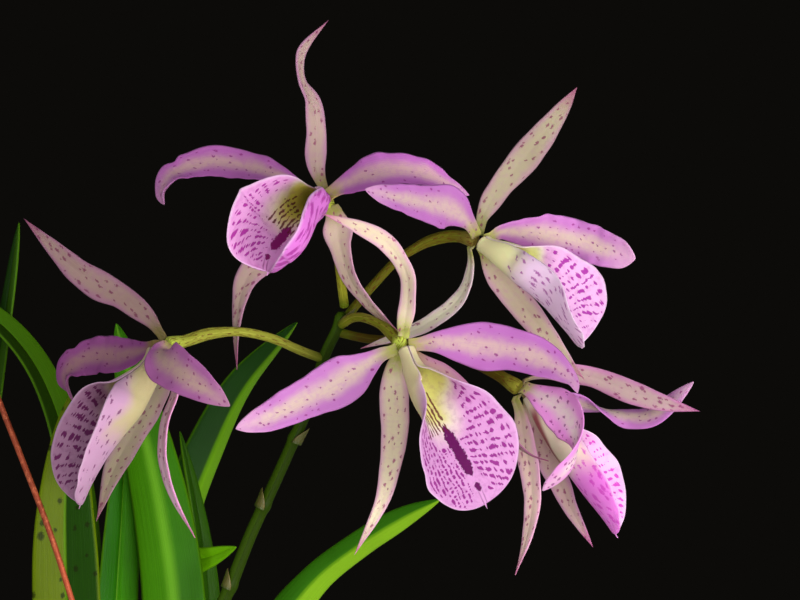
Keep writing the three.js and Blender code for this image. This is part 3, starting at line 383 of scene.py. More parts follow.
# Curves and surfaces.
def unit(v):
    """Each vector divided by its length."""
    return v / np.maximum(np.linalg.norm(v, axis=-1, keepdims=True), 1e-12)


def smooth(x, low, high):
    """Zero below low, one above high, and 3t^2 - 2t^3 of the share t in between."""
    t = np.clip((np.asarray(x, float) - low) / (high - low), 0, 1)
    return t * t * (3 - 2 * t)


def together(*values):
    """Values stretched to one shape and set side by side, as the parts of vectors."""
    return np.stack(np.broadcast_arrays(*values), -1)


def turns(count):
    """Angles spaced evenly round a circle."""
    return 2 * math.pi * np.arange(count) / count


def reach_along(points):
    """Length of the line through the points, up to each of them."""
    return np.concatenate([[0], np.cumsum(np.linalg.norm(np.diff(points, axis=0), axis=1))])


def catmull(rows, t):
    """Uniform Catmull-Rom curve through the rows at shares t of their count, each end row mirrored once."""
    rows = np.asarray(rows, float)
    padded = np.vstack([2 * rows[0] - rows[1], rows, 2 * rows[-1] - rows[-2]])
    spot = np.clip(t, 0, 1) * (len(rows) - 1)
    start = np.minimum(spot.astype(int), len(rows) - 2)
    f = (spot - start)[:, None]
    a, b, c, d = (padded[start + step] for step in range(4))
    square = (2 * a - 5 * b + 4 * c - d) * f**2
    cube = (3 * b - a - 3 * c + d) * f**3
    return 0.5 * (2 * b + (c - a) * f + square + cube)


def tangents(rows, t):
    """Unit tangents of the rows' curve, from a small step to each side."""
    return unit((catmull(rows, t + SMALL_STEP) - catmull(rows, t - SMALL_STEP))[:, :3])


def evenly(rows, shares):
    """Where along the rows' curve its length has grown to each share: the curve's t, and its length."""
    fine = np.linspace(0, 1, CURVE_STEPS)
    reach = reach_along(catmull(rows, fine)[:, :3])
    return np.interp(np.asarray(shares) * reach[-1], reach, fine), reach[-1]


def spine(rows, origin, shares):
    """A blade's midline. At each share of its length: its place, tangent, face, side and width share. The
    face is the way to the viewer, square to the tangent, turned about it by the row's turn."""
    rows = np.array([[*row, 1][:5] for row in rows], float)
    rows[:, :3] += origin
    t, length = evenly(rows, shares)
    here = catmull(rows, t)
    tangent = tangents(rows, t)
    plain = unit(VIEWER - (tangent @ VIEWER)[:, None] * tangent)
    turn = np.radians(here[:, 3])[:, None]
    face = np.cos(turn) * plain + np.sin(turn) * np.cross(tangent, plain)
    return {
        "t": t, "length": length, "place": here[:, :3], "tangent": tangent,
        "face": face, "side": np.cross(tangent, face), "share": here[:, 4],
    }


def laid_out(line, aside, out):
    """A surface about a blade's midline, so far aside and so far out towards its face at each point."""
    sheet = line["place"][:, None] + line["side"][:, None] * aside[..., None]
    return sheet + line["face"][:, None] * out[..., None]


def stations(count):
    """Shares from 0 to 1, closer together towards the tip."""
    return 1 - (1 - np.linspace(0, 1, count)) ** 1.3


def columns(count):
    """Shares across from -1 to 1, closer together towards both margins."""
    flat = np.linspace(-1, 1, count)
    return np.sin(flat * math.pi / 2) * 0.45 + flat * 0.55


def wander(u, seed, waves, size):
    """A smooth seeded wander along u: a few sine waves of growing pitch and falling size."""
    draw = np.random.default_rng(seed)
    total = np.zeros_like(np.asarray(u, float))
    for wave in range(1, 5):
        total += np.sin(2 * math.pi * (waves * wave * 0.62 * u + draw.random())) / wave**0.8
    return size * total / 2.2


def ring_faces(rows, ring, wrap=False):
    """Quads between neighbouring rings of vertices; the last ring joins the first if wrap is set."""
    row = np.arange(rows if wrap else rows - 1)[:, None]
    here = np.arange(ring)[None, :]
    beside = (here + 1) % ring
    above = (row + 1) % rows
    corners = [row * ring + here, row * ring + beside, above * ring + beside, above * ring + here]
    return np.stack(corners, -1).reshape(-1, 4)


def pole_faces(rows, ring):
    """Triangles that close the first and the last ring to one point each."""
    here = np.arange(ring)
    beside = (here + 1) % ring
    last = (rows - 1) * ring
    first = np.stack([np.full(ring, rows * ring), beside, here], -1)
    final = np.stack([np.full(ring, rows * ring + 1), last + here, last + beside], -1)
    return np.concatenate([first, final])


def faces_of_copies(count, rows, ring):
    """Quads and triangles of many closed bodies of rings, whose points follow each other."""
    shift = np.arange(count)[:, None, None] * (rows * ring + 2)
    quads = (ring_faces(rows, ring)[None] + shift).reshape(-1, 4)
    return quads, (pole_faces(rows, ring)[None] + shift).reshape(-1, 3)


def turned_out(points, quads, tris):
    """The faces, all turned round if the volume that they hold comes out negative."""
    split = np.concatenate([quads[:, [0, 1, 2]], quads[:, [0, 2, 3]], tris])
    a, b, c = (points[split[:, corner]] for corner in range(3))
    if np.einsum("ij,ij->i", a, np.cross(b, c)).sum() < 0:
        return quads[:, ::-1], tris[:, ::-1]
    return quads, tris


def set_out(name, points, quads, tris):
    """A new object in the scene, worked out in millimetres and set out in metres."""
    mesh = bpy.data.meshes.new(name)
    mesh.from_pydata((points * MM).tolist(), [], quads.tolist() + tris.tolist())
    made = bpy.data.objects.new(name, mesh)
    bpy.context.scene.collection.objects.link(made)
    return made


def piece(name, body, finish, nodes, crease=None):
    """Sets out a closed body of points, quads, triangles and notes, which its finish reads from its points.
    It rides with the plant and stands for its solids."""
    points, quads, tris, notes = body
    made = set_out(name, points, *turned_out(points, quads, tris))
    for note, values in notes.items():
        kept = made.data.attributes.new(note, "FLOAT_VECTOR", "POINT")
        kept.data.foreach_set("vector", np.asarray(values, np.float32).ravel())
    made.data.shade_smooth()
    if crease:
        made.data.set_sharp_from_angle(angle=math.radians(crease))
    made.data.materials.append(finish)
    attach(made, "root")
    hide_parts(*nodes)
    return made


def lens_share(v, power):
    """Share of a blade's thickness across it: whole at the middle and nothing at both margins."""
    return np.sqrt(np.maximum(1 - np.abs(v) ** power, 0))


def skin(middle, thickness, facing):
    """A closed thin body about a middle surface. Each point moves both ways along the surface's normal by
    half the thickness there; front and back share the margins, and each end closes in its middle point."""
    normal = unit(np.cross(np.gradient(middle, axis=0), np.gradient(middle, axis=1)))
    centre = middle.shape[1] // 2
    ways = np.sign(np.einsum("ij,ij->i", normal[:, centre], facing))
    normal = normal * np.where(ways == 0, 1, ways)[:, None, None]
    offset = normal * (thickness / 2)[..., None]
    rings = np.concatenate([middle + offset, (middle - offset)[:, -2:0:-1]], axis=1)
    rows, ring = rings.shape[:2]
    points = np.concatenate([rings.reshape(-1, 3), middle[:1].mean(1), middle[-1:].mean(1)])
    return points, ring_faces(rows, ring), pole_faces(rows, ring)


def around(values):
    """Values of a middle surface set out on the points of its skin."""
    rings = np.concatenate([values, values[:, -2:0:-1]], axis=1)
    ends = np.stack([values[0].mean(0), values[-1].mean(0)])
    return np.concatenate([rings.reshape(-1, values.shape[-1]), ends])


def skin_notes(across, along, **others):
    """Notes on a skin's points: the shares across and along, with one on the front, zero on the back and a
    half on the margins, and any other vectors of the middle surface."""
    grid = together(across, along, 0.0)
    rows, count = grid.shape[:2]
    ring = np.concatenate([[0.5], np.ones(count - 2), [0.5], np.zeros(count - 2)])
    blade_note = around(grid)
    blade_note[:, 2] = np.concatenate([np.tile(ring, rows), [0.5, 0.5]])
    return {"blade": blade_note, **{name: around(values) for name, values in others.items()}}


def outline_share(outline, u):
    """Share of the full width: from the base's share it rises as smoothstep, then falls as
    (1 - u^taper)^point."""
    grown = outline["base"] + (1 - outline["base"]) * smooth(u, 0, outline["rise"])
    return grown * np.maximum(1 - u ** outline["taper"], 0) ** outline["point"]


def blade(node, rows, origin, width, form, finish, seed):
    """A sepal, petal or leaf: a strip across the spine, half as wide as the outline says each way. It cups
    as the square of the share across and keels as the share, its margins ruffle towards the tip, and a
    groove runs along the midrib. The first stations run back into what carries it."""
    u = stations(form["rows"])
    v = columns(form["columns"])
    line = spine(rows, origin, u)
    half = width / 2 * line["share"] * outline_share(form["outline"], u)
    sides = np.stack([1 + wander(u, seed + side, form["waves"], 0.04) for side in range(2)], 1)
    if form["notch"]:
        at, deep, which = form["notch"]
        sides[:, which] *= 1 - deep * np.exp(-(((u - at) / 0.022) ** 2))
    wide = half[:, None] * np.where(v < 0, sides[:, :1], sides[:, 1:])
    fold = (form["keel"] + form["clasp"] * (1 - smooth(u, 0, 0.2)))[:, None] * (np.abs(v) - 0.5)
    lift = half[:, None] * (form["cup"] * (v * v - 1 / 3) + fold)
    left, right = (wander(u, seed + side, form["waves"], form["ruffle"])[:, None] for side in (2, 3))
    swell = np.sin(math.pi * u) ** 0.7
    lift = lift + np.where(v < 0, left, right) * np.abs(v) ** 2.4 * swell[:, None]
    lift = lift - form["rib"] * np.exp(-((v / 0.07) ** 2)) * (1 - u[:, None] ** 3)
    sheet = laid_out(line, wide * v, lift)
    fullness = 0.35 + 0.65 * np.minimum(half / (0.22 * width), 1)
    thick = form["thickness"] * lens_share(v, 4) * fullness[:, None]
    lead = (1 - form["run_in"]) * np.linspace(1, 0, RUN_IN_ROWS, endpoint=False)
    inwards = np.asarray(origin, float) - line["place"][0]
    shift = inwards if form["to_hub"] else -LEAF_RUN_IN * line["tangent"][0]

    def led_in(values):
        return np.concatenate([np.repeat(values[:1], RUN_IN_ROWS, 0), values])

    sheet = np.concatenate([sheet[0] + shift * lead[:, None, None], sheet])
    along = np.concatenate([-0.02 * lead, u])[:, None]
    span = together(led_in(wide) * v, along * line["length"], seed % 97)
    body = skin(sheet, led_in(thick), led_in(line["face"]))
    return piece(node + "_blade", (*body, skin_notes(v, along, span=span)), finish, [node])


def strip_share(u, end=1.0):
    """Share of a lip's full width: it widens up to the throat, then rounds off as an ellipse."""
    grown = STRIP_BASE + (1 - STRIP_BASE) * smooth(u, 0.02, THROAT)
    rounding = np.clip((u - ROUND_FROM) / (end - ROUND_FROM), 0, 1)
    return grown * np.sqrt(1 - rounding**2)


def lip(node, rows, roll, origin, width, finish, seed):
    """A rolled lip. Across its strip the heading turns by the roll angle of the left or the right edge,
    part of it in a crease at the middle, and the strip is walked outwards from its midline along that
    heading. At its end a small point is drawn out, and the free margins undulate."""
    u = np.concatenate([np.linspace(0, 0.87, 74), 1 - 0.132 * np.linspace(0.93, 0, 26) ** 1.5])
    v = columns(61)
    line = spine(rows, origin, u)
    point = 1.25 * np.clip((1 - u) / CUSP / 2.6, 0, 1) ** 1.4
    strip = width / 2 * line["share"] * strip_share(u, 1 - CUSP)
    half = np.hypot(strip, point * smooth(u, 0.72, 0.96))
    edges = catmull(np.array(roll, float), line["t"])
    edges = edges + (CLOSED_ROLL - edges) * smooth(edges, 150, 164)

    def heading(x):
        edge = np.where(x > 0, edges[:, :1], edges[:, 1:])
        crease = 0.55 * (1 - smooth(edge, 60, 150))
        turn = (1 - crease) * x + crease * np.tanh(CREASE_SHARPNESS * x) / math.tanh(CREASE_SHARPNESS)
        return np.radians(edge) * turn

    between = heading((v[1:] + v[:-1])[None] / 2)
    middle = len(v) // 2

    def walked(parts):
        total = np.concatenate([np.zeros((len(u), 1)), np.cumsum(parts * np.diff(v), axis=1)], axis=1)
        return half[:, None] * (total - total[:, middle:middle + 1])

    aside, out = walked(np.cos(between)), walked(np.sin(between))
    free = smooth(u, 0.4, 0.66)[:, None] * (1 - smooth(u, 0.93, 0.965))[:, None]
    turn = heading(v[None])
    left, right = (wander(u, seed + side, 4, 0.55)[:, None] for side in range(2))
    wave = np.where(v < 0, left, right) * np.abs(v) ** 3 * free
    veins = 0.05 * np.sin(34 * np.abs(v) ** 0.9) * free * (1 - np.abs(v) ** 6)
    ridge = 0.22 * np.exp(-((v / 0.035) ** 2)) * (1 - smooth(u, 0.45, 0.75))[:, None]
    aside = aside - np.sin(turn) * wave
    out = out + np.cos(turn) * (wave + veins + ridge)
    sheet = laid_out(line, aside, out)
    thick = LIP_THICKNESS * lens_share(v, 8) * (0.3 + 0.7 * np.minimum(half / 3, 1))[:, None]
    across, down = half[:, None] * v, (u * line["length"])[:, None]
    away = np.abs(across)
    vein = (down - 0.4 * line["length"] + 0.15 * away) / (1 + 0.05 * away)
    notes = skin_notes(
        v, u[:, None], span=together(across, down, seed % 97),
        fan=together(vein, away, np.sign(across) * 5 + seed % 13),
    )
    return piece(node + "_blade", (*skin(sheet, thick, line["face"]), notes), finish, [node])


def spokes(tangent, angle, toward):
    """Unit vectors square to each tangent, turned about it by each angle from the way towards."""
    first = unit(toward - (tangent @ toward)[..., None] * tangent)
    return np.cos(angle)[:, None] * first + np.sin(angle)[:, None] * np.cross(tangent, first)


def rod(rows, radius, count, ring, toward=VIEWER):
    """A round body along the rows' curve: at each share u of its length, a ring about the midline whose
    radius is given for u and the angle round it. Both ends close in a point."""
    flat = np.linspace(0, 1, count)
    u = 0.35 * (0.5 - 0.5 * np.cos(math.pi * flat)) + 0.65 * flat
    t, length = evenly(rows, u)
    place = catmull(rows, t)
    angle = turns(ring)
    u = u[:, None]
    reach = radius(u, angle, length)
    points = place[:, None] + spokes(tangents(rows, t)[:, None], angle, toward) * reach[..., None]
    blade_note = together(angle / math.pi - 1, u, 1.0)
    span_note = together(np.sin(angle) * reach, u * length, np.cos(angle) * reach)
    notes = {
        "blade": np.concatenate([blade_note.reshape(-1, 3), [[0, 0, 1], [0, 1, 1]]]),
        "span": np.concatenate([span_note.reshape(-1, 3), [[0, 0, 0], [0, length, 0]]]),
    }
    points = np.concatenate([points.reshape(-1, 3), place[:1], place[-1:]])
    return points, ring_faces(count, ring), pole_faces(count, ring), notes


def round_ends(u, length, start, end):
    """Falls from one to nothing as a quarter circle over the last stretch at each end."""
    low = np.clip(u * length / start, 0, 1)
    high = np.clip((1 - u) * length / end, 0, 1)
    return np.sqrt(1 - (1 - low) ** 2) * np.sqrt(1 - (1 - high) ** 2)


def sleeve(rows, start, end, inner, wall, count, ring, seed, ragged):
    """A thin sleeve about the rows' curve between two shares of its length, with a torn upper edge: the
    outer wall is walked up and the inner wall down, and the rings close on themselves."""
    angle = turns(ring)
    s = np.concatenate([np.linspace(0, 1, count), np.linspace(1, 0, count)])[:, None]
    outside = np.repeat([1.0, 0.0], count)[:, None]
    tear = wander(angle / (2 * math.pi), seed, 1, 0.05 * ragged) + 0.02 * ragged * np.sin(9 * angle + seed)
    share = np.clip(start + (end - start) * s * (1 + tear * smooth(s, 0.3, 1)), 0, 1)
    even = np.linspace(0, 1, SLEEVE_STEPS)
    at = np.interp(share.ravel(), even, evenly(rows, even)[0])
    place, tangent = (found.reshape(*share.shape, 3) for found in (catmull(rows, at), tangents(rows, at)))
    gap = inner(share, angle) + wall * outside + 0.12 * np.sin(5 * angle + 3 * s + seed) * s
    points = (place + spokes(tangent, angle, VIEWER) * gap[..., None]).reshape(-1, 3)
    blade_note = together(angle / math.pi - 1, s, outside).reshape(-1, 3)
    notes = {"blade": blade_note, "span": points - points.mean(0)}
    return points, ring_faces(2 * count, ring, wrap=True), NO_TRIS, notes


def lathe(profile, count, ring):
    """A profile of radius and height carried round the axis, on which its first and last point lie."""
    profile = np.array(profile, float)
    reach = reach_along(profile)
    at = np.unique(np.concatenate([np.linspace(0, reach[-1], count), reach]))[1:-1]
    radius, height = (np.interp(at, reach, profile[:, part])[:, None] for part in range(2))
    angle = turns(ring)
    rings = together(radius * np.cos(angle), radius * np.sin(angle), height)
    points = np.concatenate([rings.reshape(-1, 3), [[0, 0, profile[0, 1]], [0, 0, profile[-1, 1]]]])
    return points, ring_faces(len(at), ring), pole_faces(len(at), ring)


# Finishes.
def tone(red, green, blue):
    """A colour as it is seen on screen, 0 to 255, turned into light."""
    seen = np.array([red, green, blue]) / 255
    light = np.where(seen <= 0.04045, seen / 12.92, ((seen + 0.055) / 1.055) ** 2.4)
    return (*light.tolist(), 1.0)


class Board:
    """A node tree with short ways to place nodes. Any input takes a number, a colour or another output."""

    def __init__(self, tree):
        self.tree = tree
        self.shader = tree.nodes.get("Principled BSDF")

    def feed(self, socket, value):
        if isinstance(value, bpy.types.NodeSocket):
            self.tree.links.new(value, socket)
        else:
            socket.default_value = value

    def node(self, kind, inputs=None, **settings):
        made = self.tree.nodes.new("ShaderNode" + kind)
        for name, value in settings.items():
            setattr(made, name, value)
        for key, value in (inputs or {}).items():
            self.feed(made.inputs[key], value)
        return made

    def maths(self, what, a, b=0.0, c=0.0, clamp=False):
        return self.node("Math", {0: a, 1: b, 2: c}, operation=what, use_clamp=clamp).outputs[0]

    def plus(self, a, b):
        return self.maths("ADD", a, b)

    def minus(self, a, b):
        return self.maths("SUBTRACT", a, b)

    def times(self, first, *others):
        for other in others:
            first = self.maths("MULTIPLY", first, other)
        return first

    def over(self, a, b):
        return self.maths("DIVIDE", a, b)

    def times_plus(self, a, b, c):
        return self.maths("MULTIPLY_ADD", a, b, c)

    def size(self, a):
        return self.maths("ABSOLUTE", a)

    def apart(self, a, b):
        return self.size(self.minus(a, b))

    def blend(self, share, a, b, how="MIX"):
        return self.node("Mix", {0: share, 6: a, 7: b}, data_type="RGBA", blend_type=how).outputs[2]

    def layered(self, colour, given, *layers):
        """The colour with given colours laid over it in turn, each by its mask."""
        for mask, name in layers:
            colour = self.blend(mask, colour, given[name])
        return colour

    def tinted(self, colour, tint):
        return self.blend(1.0, colour, tint, "MULTIPLY")

    def shaded(self, colour, shade):
        return self.tinted(colour, self.join(shade, shade, shade))

    def ease(self, value, low, high, to_low=0.0, to_high=1.0):
        inputs = {"Value": value, "From Min": low, "From Max": high, "To Min": to_low, "To Max": to_high}
        return self.node("MapRange", inputs, interpolation_type="SMOOTHSTEP").outputs[0]

    def noise(self, vector, scale, detail=2.0, rough=0.5):
        inputs = {"Vector": vector, "Scale": scale, "Detail": detail, "Roughness": rough}
        return self.node("TexNoise", inputs).outputs[0]

    def cloud(self, vector, scale, detail=2.0, rough=0.5):
        return self.minus(self.noise(vector, scale, detail, rough), 0.5)

    def note(self, name):
        return self.node("Attribute", attribute_name=name, attribute_type="GEOMETRY").outputs["Vector"]

    def place(self):
        return self.node("TexCoord").outputs["Object"]

    def parts(self, vector):
        return self.node("SeparateXYZ", {0: vector}).outputs[:]

    def join(self, x, y, z=0.0):
        return self.node("CombineXYZ", {0: x, 1: y, 2: z}).outputs[0]

    def group(self, tree, **values):
        made = self.node("Group", node_tree=tree)
        for name, value in values.items():
            self.feed(made.inputs[name.replace("_", " ").capitalize()], value)
        return made.outputs

    def put(self, end, **values):
        for name, value in values.items():
            self.feed(end[name], value)
        return self.tree


PAINT = {"Color": "Colour", "Float": "Height, Roughness"}


def effect(name, puts_out, **takes_in):
    """An empty shared effect: its board, its inputs and what it puts out. The names of the sockets of each
    kind stand in one line, with commas between them."""
    tree = bpy.data.node_groups.new(name, "ShaderNodeTree")
    for way, sockets in (("INPUT", takes_in), ("OUTPUT", puts_out)):
        for kind, names in sockets.items():
            for socket in names.split(", "):
                tree.interface.new_socket(socket, in_out=way, socket_type="NodeSocket" + kind)
    start = tree.nodes.new("NodeGroupInput")
    end = tree.nodes.new("NodeGroupOutput")
    return Board(tree), start.outputs, end.inputs


def spots_effect():
    """Dots scattered over a surface: the nearest point of a loose pattern, drawn out along the blade. A
    share of the points carries a dot, and each dot has its own size."""
    board, given, out = effect(
        "Scattered spots", {"Float": "Mask"}, Vector="Span", Float="Pitch, Stretch, Share, Size",
    )
    across, along, seed = board.parts(given["Span"])
    jitter = board.noise(given["Span"], 1.9)
    along = board.over(along, given["Stretch"])
    moved = board.join(
        board.plus(board.plus(across, board.times(seed, 7.3)), jitter),
        board.plus(board.plus(along, board.times(seed, 3.1)), jitter),
    )
    scale = board.over(1.0, given["Pitch"])
    cells = board.node("TexVoronoi", {"Vector": moved, "Scale": scale}, voronoi_dimensions="2D")
    luck = board.node("SeparateColor", {0: cells.outputs["Color"]}).outputs
    present = board.maths("LESS_THAN", luck[0], given["Share"])
    reach = board.over(board.times(given["Size"], board.times_plus(luck[1], 0.7, 0.45)), given["Pitch"])
    dot = board.ease(cells.outputs["Distance"], reach, board.times(reach, 0.45))
    return board.put(out, Mask=board.times(dot, present))


def rows_effect():
    """Dashes in rows: the vein coordinate is cut into rows, and in each row a noise along it, which every
    row reads at its own place, opens and closes the dash."""
    board, given, out = effect(
        "Dashes in rows", {"Float": "Mask"}, Vector="Fan", Float="Gap, Dash, Share, Width",
    )
    vein, away, side = board.parts(given["Fan"])
    sway = board.cloud(given["Fan"], 0.55)
    fine = board.cloud(given["Fan"], 2.6)
    row = board.over(vein, given["Gap"])
    row = board.times_plus(sway, 1.1, board.times_plus(fine, 0.14, row))
    number = board.maths("FLOOR", row)
    off = board.apart(board.maths("FRACT", row), 0.5)
    step = board.over(away, given["Dash"])
    place = board.join(board.times_plus(number, 4.71, step), board.times(number, 2.37), side)
    strength = board.noise(place, 1.0, 1.0)
    open_at = board.minus(1.0, given["Share"])
    swell = board.maths("MULTIPLY", board.minus(strength, open_at), 8.0, clamp=True)
    reach = board.times(swell, given["Width"])
    mask = board.ease(off, reach, board.times(reach, 0.55))
    return board.put(out, Mask=board.times(mask, board.maths("GREATER_THAN", swell, 0.06)))


def grain_effect():
    """Grain of a natural material on Object coordinates: a coarse and a fine noise mix three colours."""
    board, given, out = effect(
        "Natural grain", {"Color": "Colour", "Float": "Height"},
        Color="Dark, Middle, Light", Float="Coarse, Fine", Vector="Squash",
    )
    squash = {0: board.place(), 1: given["Squash"]}
    moved = board.node("VectorMath", squash, operation="MULTIPLY").outputs[0]
    coarse = board.noise(moved, given["Coarse"], 4.0, 0.6)
    fine = board.noise(moved, given["Fine"], 3.0, 0.65)
    low = board.blend(board.ease(coarse, 0.35, 0.65), given["Dark"], given["Middle"])
    colour = board.blend(board.ease(fine, 0.48, 0.75), low, given["Light"])
    return board.put(out, Colour=colour, Height=board.times_plus(coarse, 0.6, board.times(fine, 0.4)))


def tepal_effect():
    """Colour of a sepal or petal: a pale band along the middle runs into its margins, then the base and the
    tip take their own tints, fine veins run along it, and soft spots lie over all. Last, the whole is
    multiplied by a painted shade of its own, which darkens blades that stand in shade."""
    board, given, out = effect(
        "Tepal paint", PAINT, Color="Centre, Margin, Base, Tip, Spot, Tint",
        Float="Band, Softness, Lean, Base reach, Tip from, Spot share, Spot size, Spot stretch, Back",
    )
    across, along, front = board.parts(board.note("blade"))
    span = board.note("span")
    cloud = board.cloud(span, 0.16, 3.0)
    off = board.times_plus(cloud, 0.55, board.apart(across, given["Lean"]))
    edge = board.ease(off, given["Band"], board.plus(given["Band"], given["Softness"]))
    shifted = board.times_plus(cloud, 0.1, along)
    lines = board.noise(board.join(board.times(across, 9.0), along, given["Lean"]), 2.2)
    away = board.size(across)
    share = board.ease(along, 0.1, 0.9, 0.6, 1.25)
    share = board.times(share, board.ease(away, 0.98, 0.7), given["Spot share"])
    dots = board.group(
        SPOTS, span=span, pitch=1.6, stretch=given["Spot stretch"], share=share, size=given["Spot size"],
    )["Mask"]
    colour = board.layered(
        board.blend(edge, given["Centre"], given["Margin"]), given,
        (board.ease(away, 0.86, 1.0, 0.0, 0.35), "Margin"),
        (board.ease(shifted, given["Tip from"], 1.0), "Tip"),
        (board.ease(shifted, given["Base reach"], 0.0), "Base"),
        (board.ease(lines, 0.35, 0.7, 0.0, 0.1), "Margin"),
        (board.ease(board.noise(span, 0.7, 3.0, 0.6), 0.45, 0.7, 0.0, 0.3), "Margin"),
        (board.times(dots, 0.78), "Spot"),
    )
    colour = board.shaded(colour, board.ease(front, 0.2, 0.8, given["Back"], 1.0))
    cells = board.noise(span, 6.0)
    # Painted shade: the whole colour is darkened by a colour given per blade, for blades that stand in
    # shade.
    return board.put(
        out, Colour=board.tinted(colour, given["Tint"]),
        Height=board.times_plus(lines, 0.7, board.times(cells, 0.3)),
        Roughness=board.ease(cells, 0.2, 0.8, 0.42, 0.6),
    )


def lip_effect():
    """Colour of a lip: inside, a yellow-green throat runs out through cream into lilac, with a ragged dark
    bar on the midline, lines on to the point, streaks in the throat and rows of dashes on both lobes;
    outside, a cream tube under lilac lobes with fainter dots, and on some a dark stripe along the tube. The
    rim stays pale. Last, the whole is multiplied by a painted shade of its own, which darkens lips that
    stand in shade."""
    board, given, out = effect(
        "Lip paint", PAINT,
        Color="Ground, Cream, Throat, Bar, Dash, Outside, Tube, Rim, Streak, Tint",
        Float="Cream reach, Cream lean, Bar start, Bar end, Bar width, Bar lean, Dash share left, "
        "Dash share right, Dash width, Dash length, Row gap, Left along, Streaks, Outside from, "
        "Outside dots, Outside size, Keel stripe",
    )
    across, along, front = board.parts(board.note("blade"))
    span, fan = board.note("span"), board.note("fan")
    left, down = board.parts(span)[:2]
    away = board.size(left)
    cloud = board.cloud(span, 0.22, 3.0)
    ragged = board.cloud(span, 1.5, 3.0, 0.7)
    # Distance from the throat, in shares of the cream's reach.
    side_way = board.over(board.minus(left, given["Cream lean"]), given["Cream reach"])
    down_way = board.over(board.minus(down, 16.0), board.times(given["Cream reach"], 1.25))
    square = board.plus(board.maths("POWER", side_way, 2.0), board.maths("POWER", down_way, 2.0))
    far = board.times_plus(cloud, 0.5, board.maths("SQRT", square))
    far = board.times(far, board.ease(down, 17.0, 12.0, 1.0, 0.25))
    colour = board.blend(board.ease(far, 0.55, 1.25), given["Cream"], given["Ground"])
    colour = board.blend(board.ease(far, 0.2, 0.8), given["Throat"], colour)
    haze = board.ease(board.noise(span, 0.55, 3.0, 0.6), 0.45, 0.75, 0.0, 0.28)
    # Dashes in rows.
    on_left = board.maths("GREATER_THAN", left, 0.0)
    share = board.times(
        board.blend(on_left, given["Dash share right"], given["Dash share left"]),
        board.ease(far, 0.75, 1.2), board.ease(away, 1.2, 2.6),
        board.ease(board.size(across), 0.98, 0.88), board.ease(along, 0.96, 0.9),
    )
    course = board.blend(board.times(on_left, given["Left along"]), fan, board.join(away, down, 4.0))
    dashes = board.group(
        ROWS, fan=course, gap=given["Row gap"], dash=given["Dash length"], share=share,
        width=given["Dash width"],
    )["Mask"]
    # The bar, its broken end and the lines to the point.
    beside = board.apart(left, given["Bar lean"])
    bar_long = board.minus(given["Bar end"], given["Bar start"])
    reach = board.over(board.minus(down, given["Bar start"]), bar_long)
    tail = board.times(board.ease(reach, 1.08, 1.13), board.ease(reach, 1.28, 1.2), 0.55)
    hump = board.plus(board.times(board.ease(reach, -0.02, 0.3), board.ease(reach, 1.02, 0.85)), tail)
    half = board.times(hump, given["Bar width"], board.times_plus(ragged, 1.7, 1.0))
    holes = board.times(board.ease(ragged, 0.16, 0.2), board.ease(reach, 0.4, 0.05))
    bar = board.times(board.ease(board.minus(half, beside), 0.0, 0.3), board.minus(1.0, holes))
    line = board.times(
        board.ease(board.apart(beside, 0.5), 0.28, 0.08), board.ease(reach, 1.1, 1.35),
        board.ease(cloud, -0.25, 0.2, 0.25, 0.75), board.ease(given["Bar width"], 0.2, 1.0),
    )
    bar = board.maths("MAXIMUM", bar, line)
    # Streaks in the throat, more of them on its left wall.
    zone = board.times(
        board.ease(left, -2.4, -1.2), board.ease(left, 9.0, 7.0),
        board.ease(down, 10.0, 13.0), board.ease(down, 26.0, 23.0), given["Streaks"],
    )
    course = board.join(left, down, 3.0)
    streaks = board.group(ROWS, fan=course, gap=1.2, dash=2.0, share=zone, width=0.3)["Mask"]
    colour = board.layered(
        colour, given, (haze, "Dash"), (board.times(dashes, 0.92), "Dash"), (bar, "Bar"),
        (board.times(streaks, 0.9), "Streak"),
    )
    # The outside.
    outer = board.ease(board.times_plus(cloud, 3.0, away), 9.0, 14.0)
    late = board.minus(board.times_plus(cloud, 5.0, down), given["Outside from"])
    outer = board.maths("MAXIMUM", outer, board.ease(late, 0.0, 9.0))
    back = board.blend(outer, given["Tube"], given["Outside"])
    share = board.times(outer, given["Outside dots"])
    dots = board.group(
        SPOTS, span=span, pitch=1.5, stretch=2.0, share=share, size=given["Outside size"],
    )["Mask"]
    back = board.blend(board.times(dots, 0.75), back, given["Dash"])
    stripe = board.times(
        board.ease(board.apart(left, 2.6), 1.6, 0.3), board.ease(down, 2.0, 6.0),
        board.ease(down, 24.0, 15.0), given["Keel stripe"],
    )
    back = board.blend(stripe, back, tone(150, 40, 70))
    colour = board.blend(board.ease(front, 0.35, 0.65), back, colour)
    colour = board.blend(board.ease(board.size(across), 0.93, 1.0, 0.0, 0.6), colour, given["Rim"])
    cells = board.noise(span, 5.0)
    # Painted shade: the whole colour is darkened by a colour given per lip, for lips that stand in shade.
    return board.put(
        out, Colour=board.tinted(colour, given["Tint"]), Height=board.times_plus(bar, -0.3, cells),
        Roughness=board.ease(cells, 0.2, 0.8, 0.45, 0.62),
    )


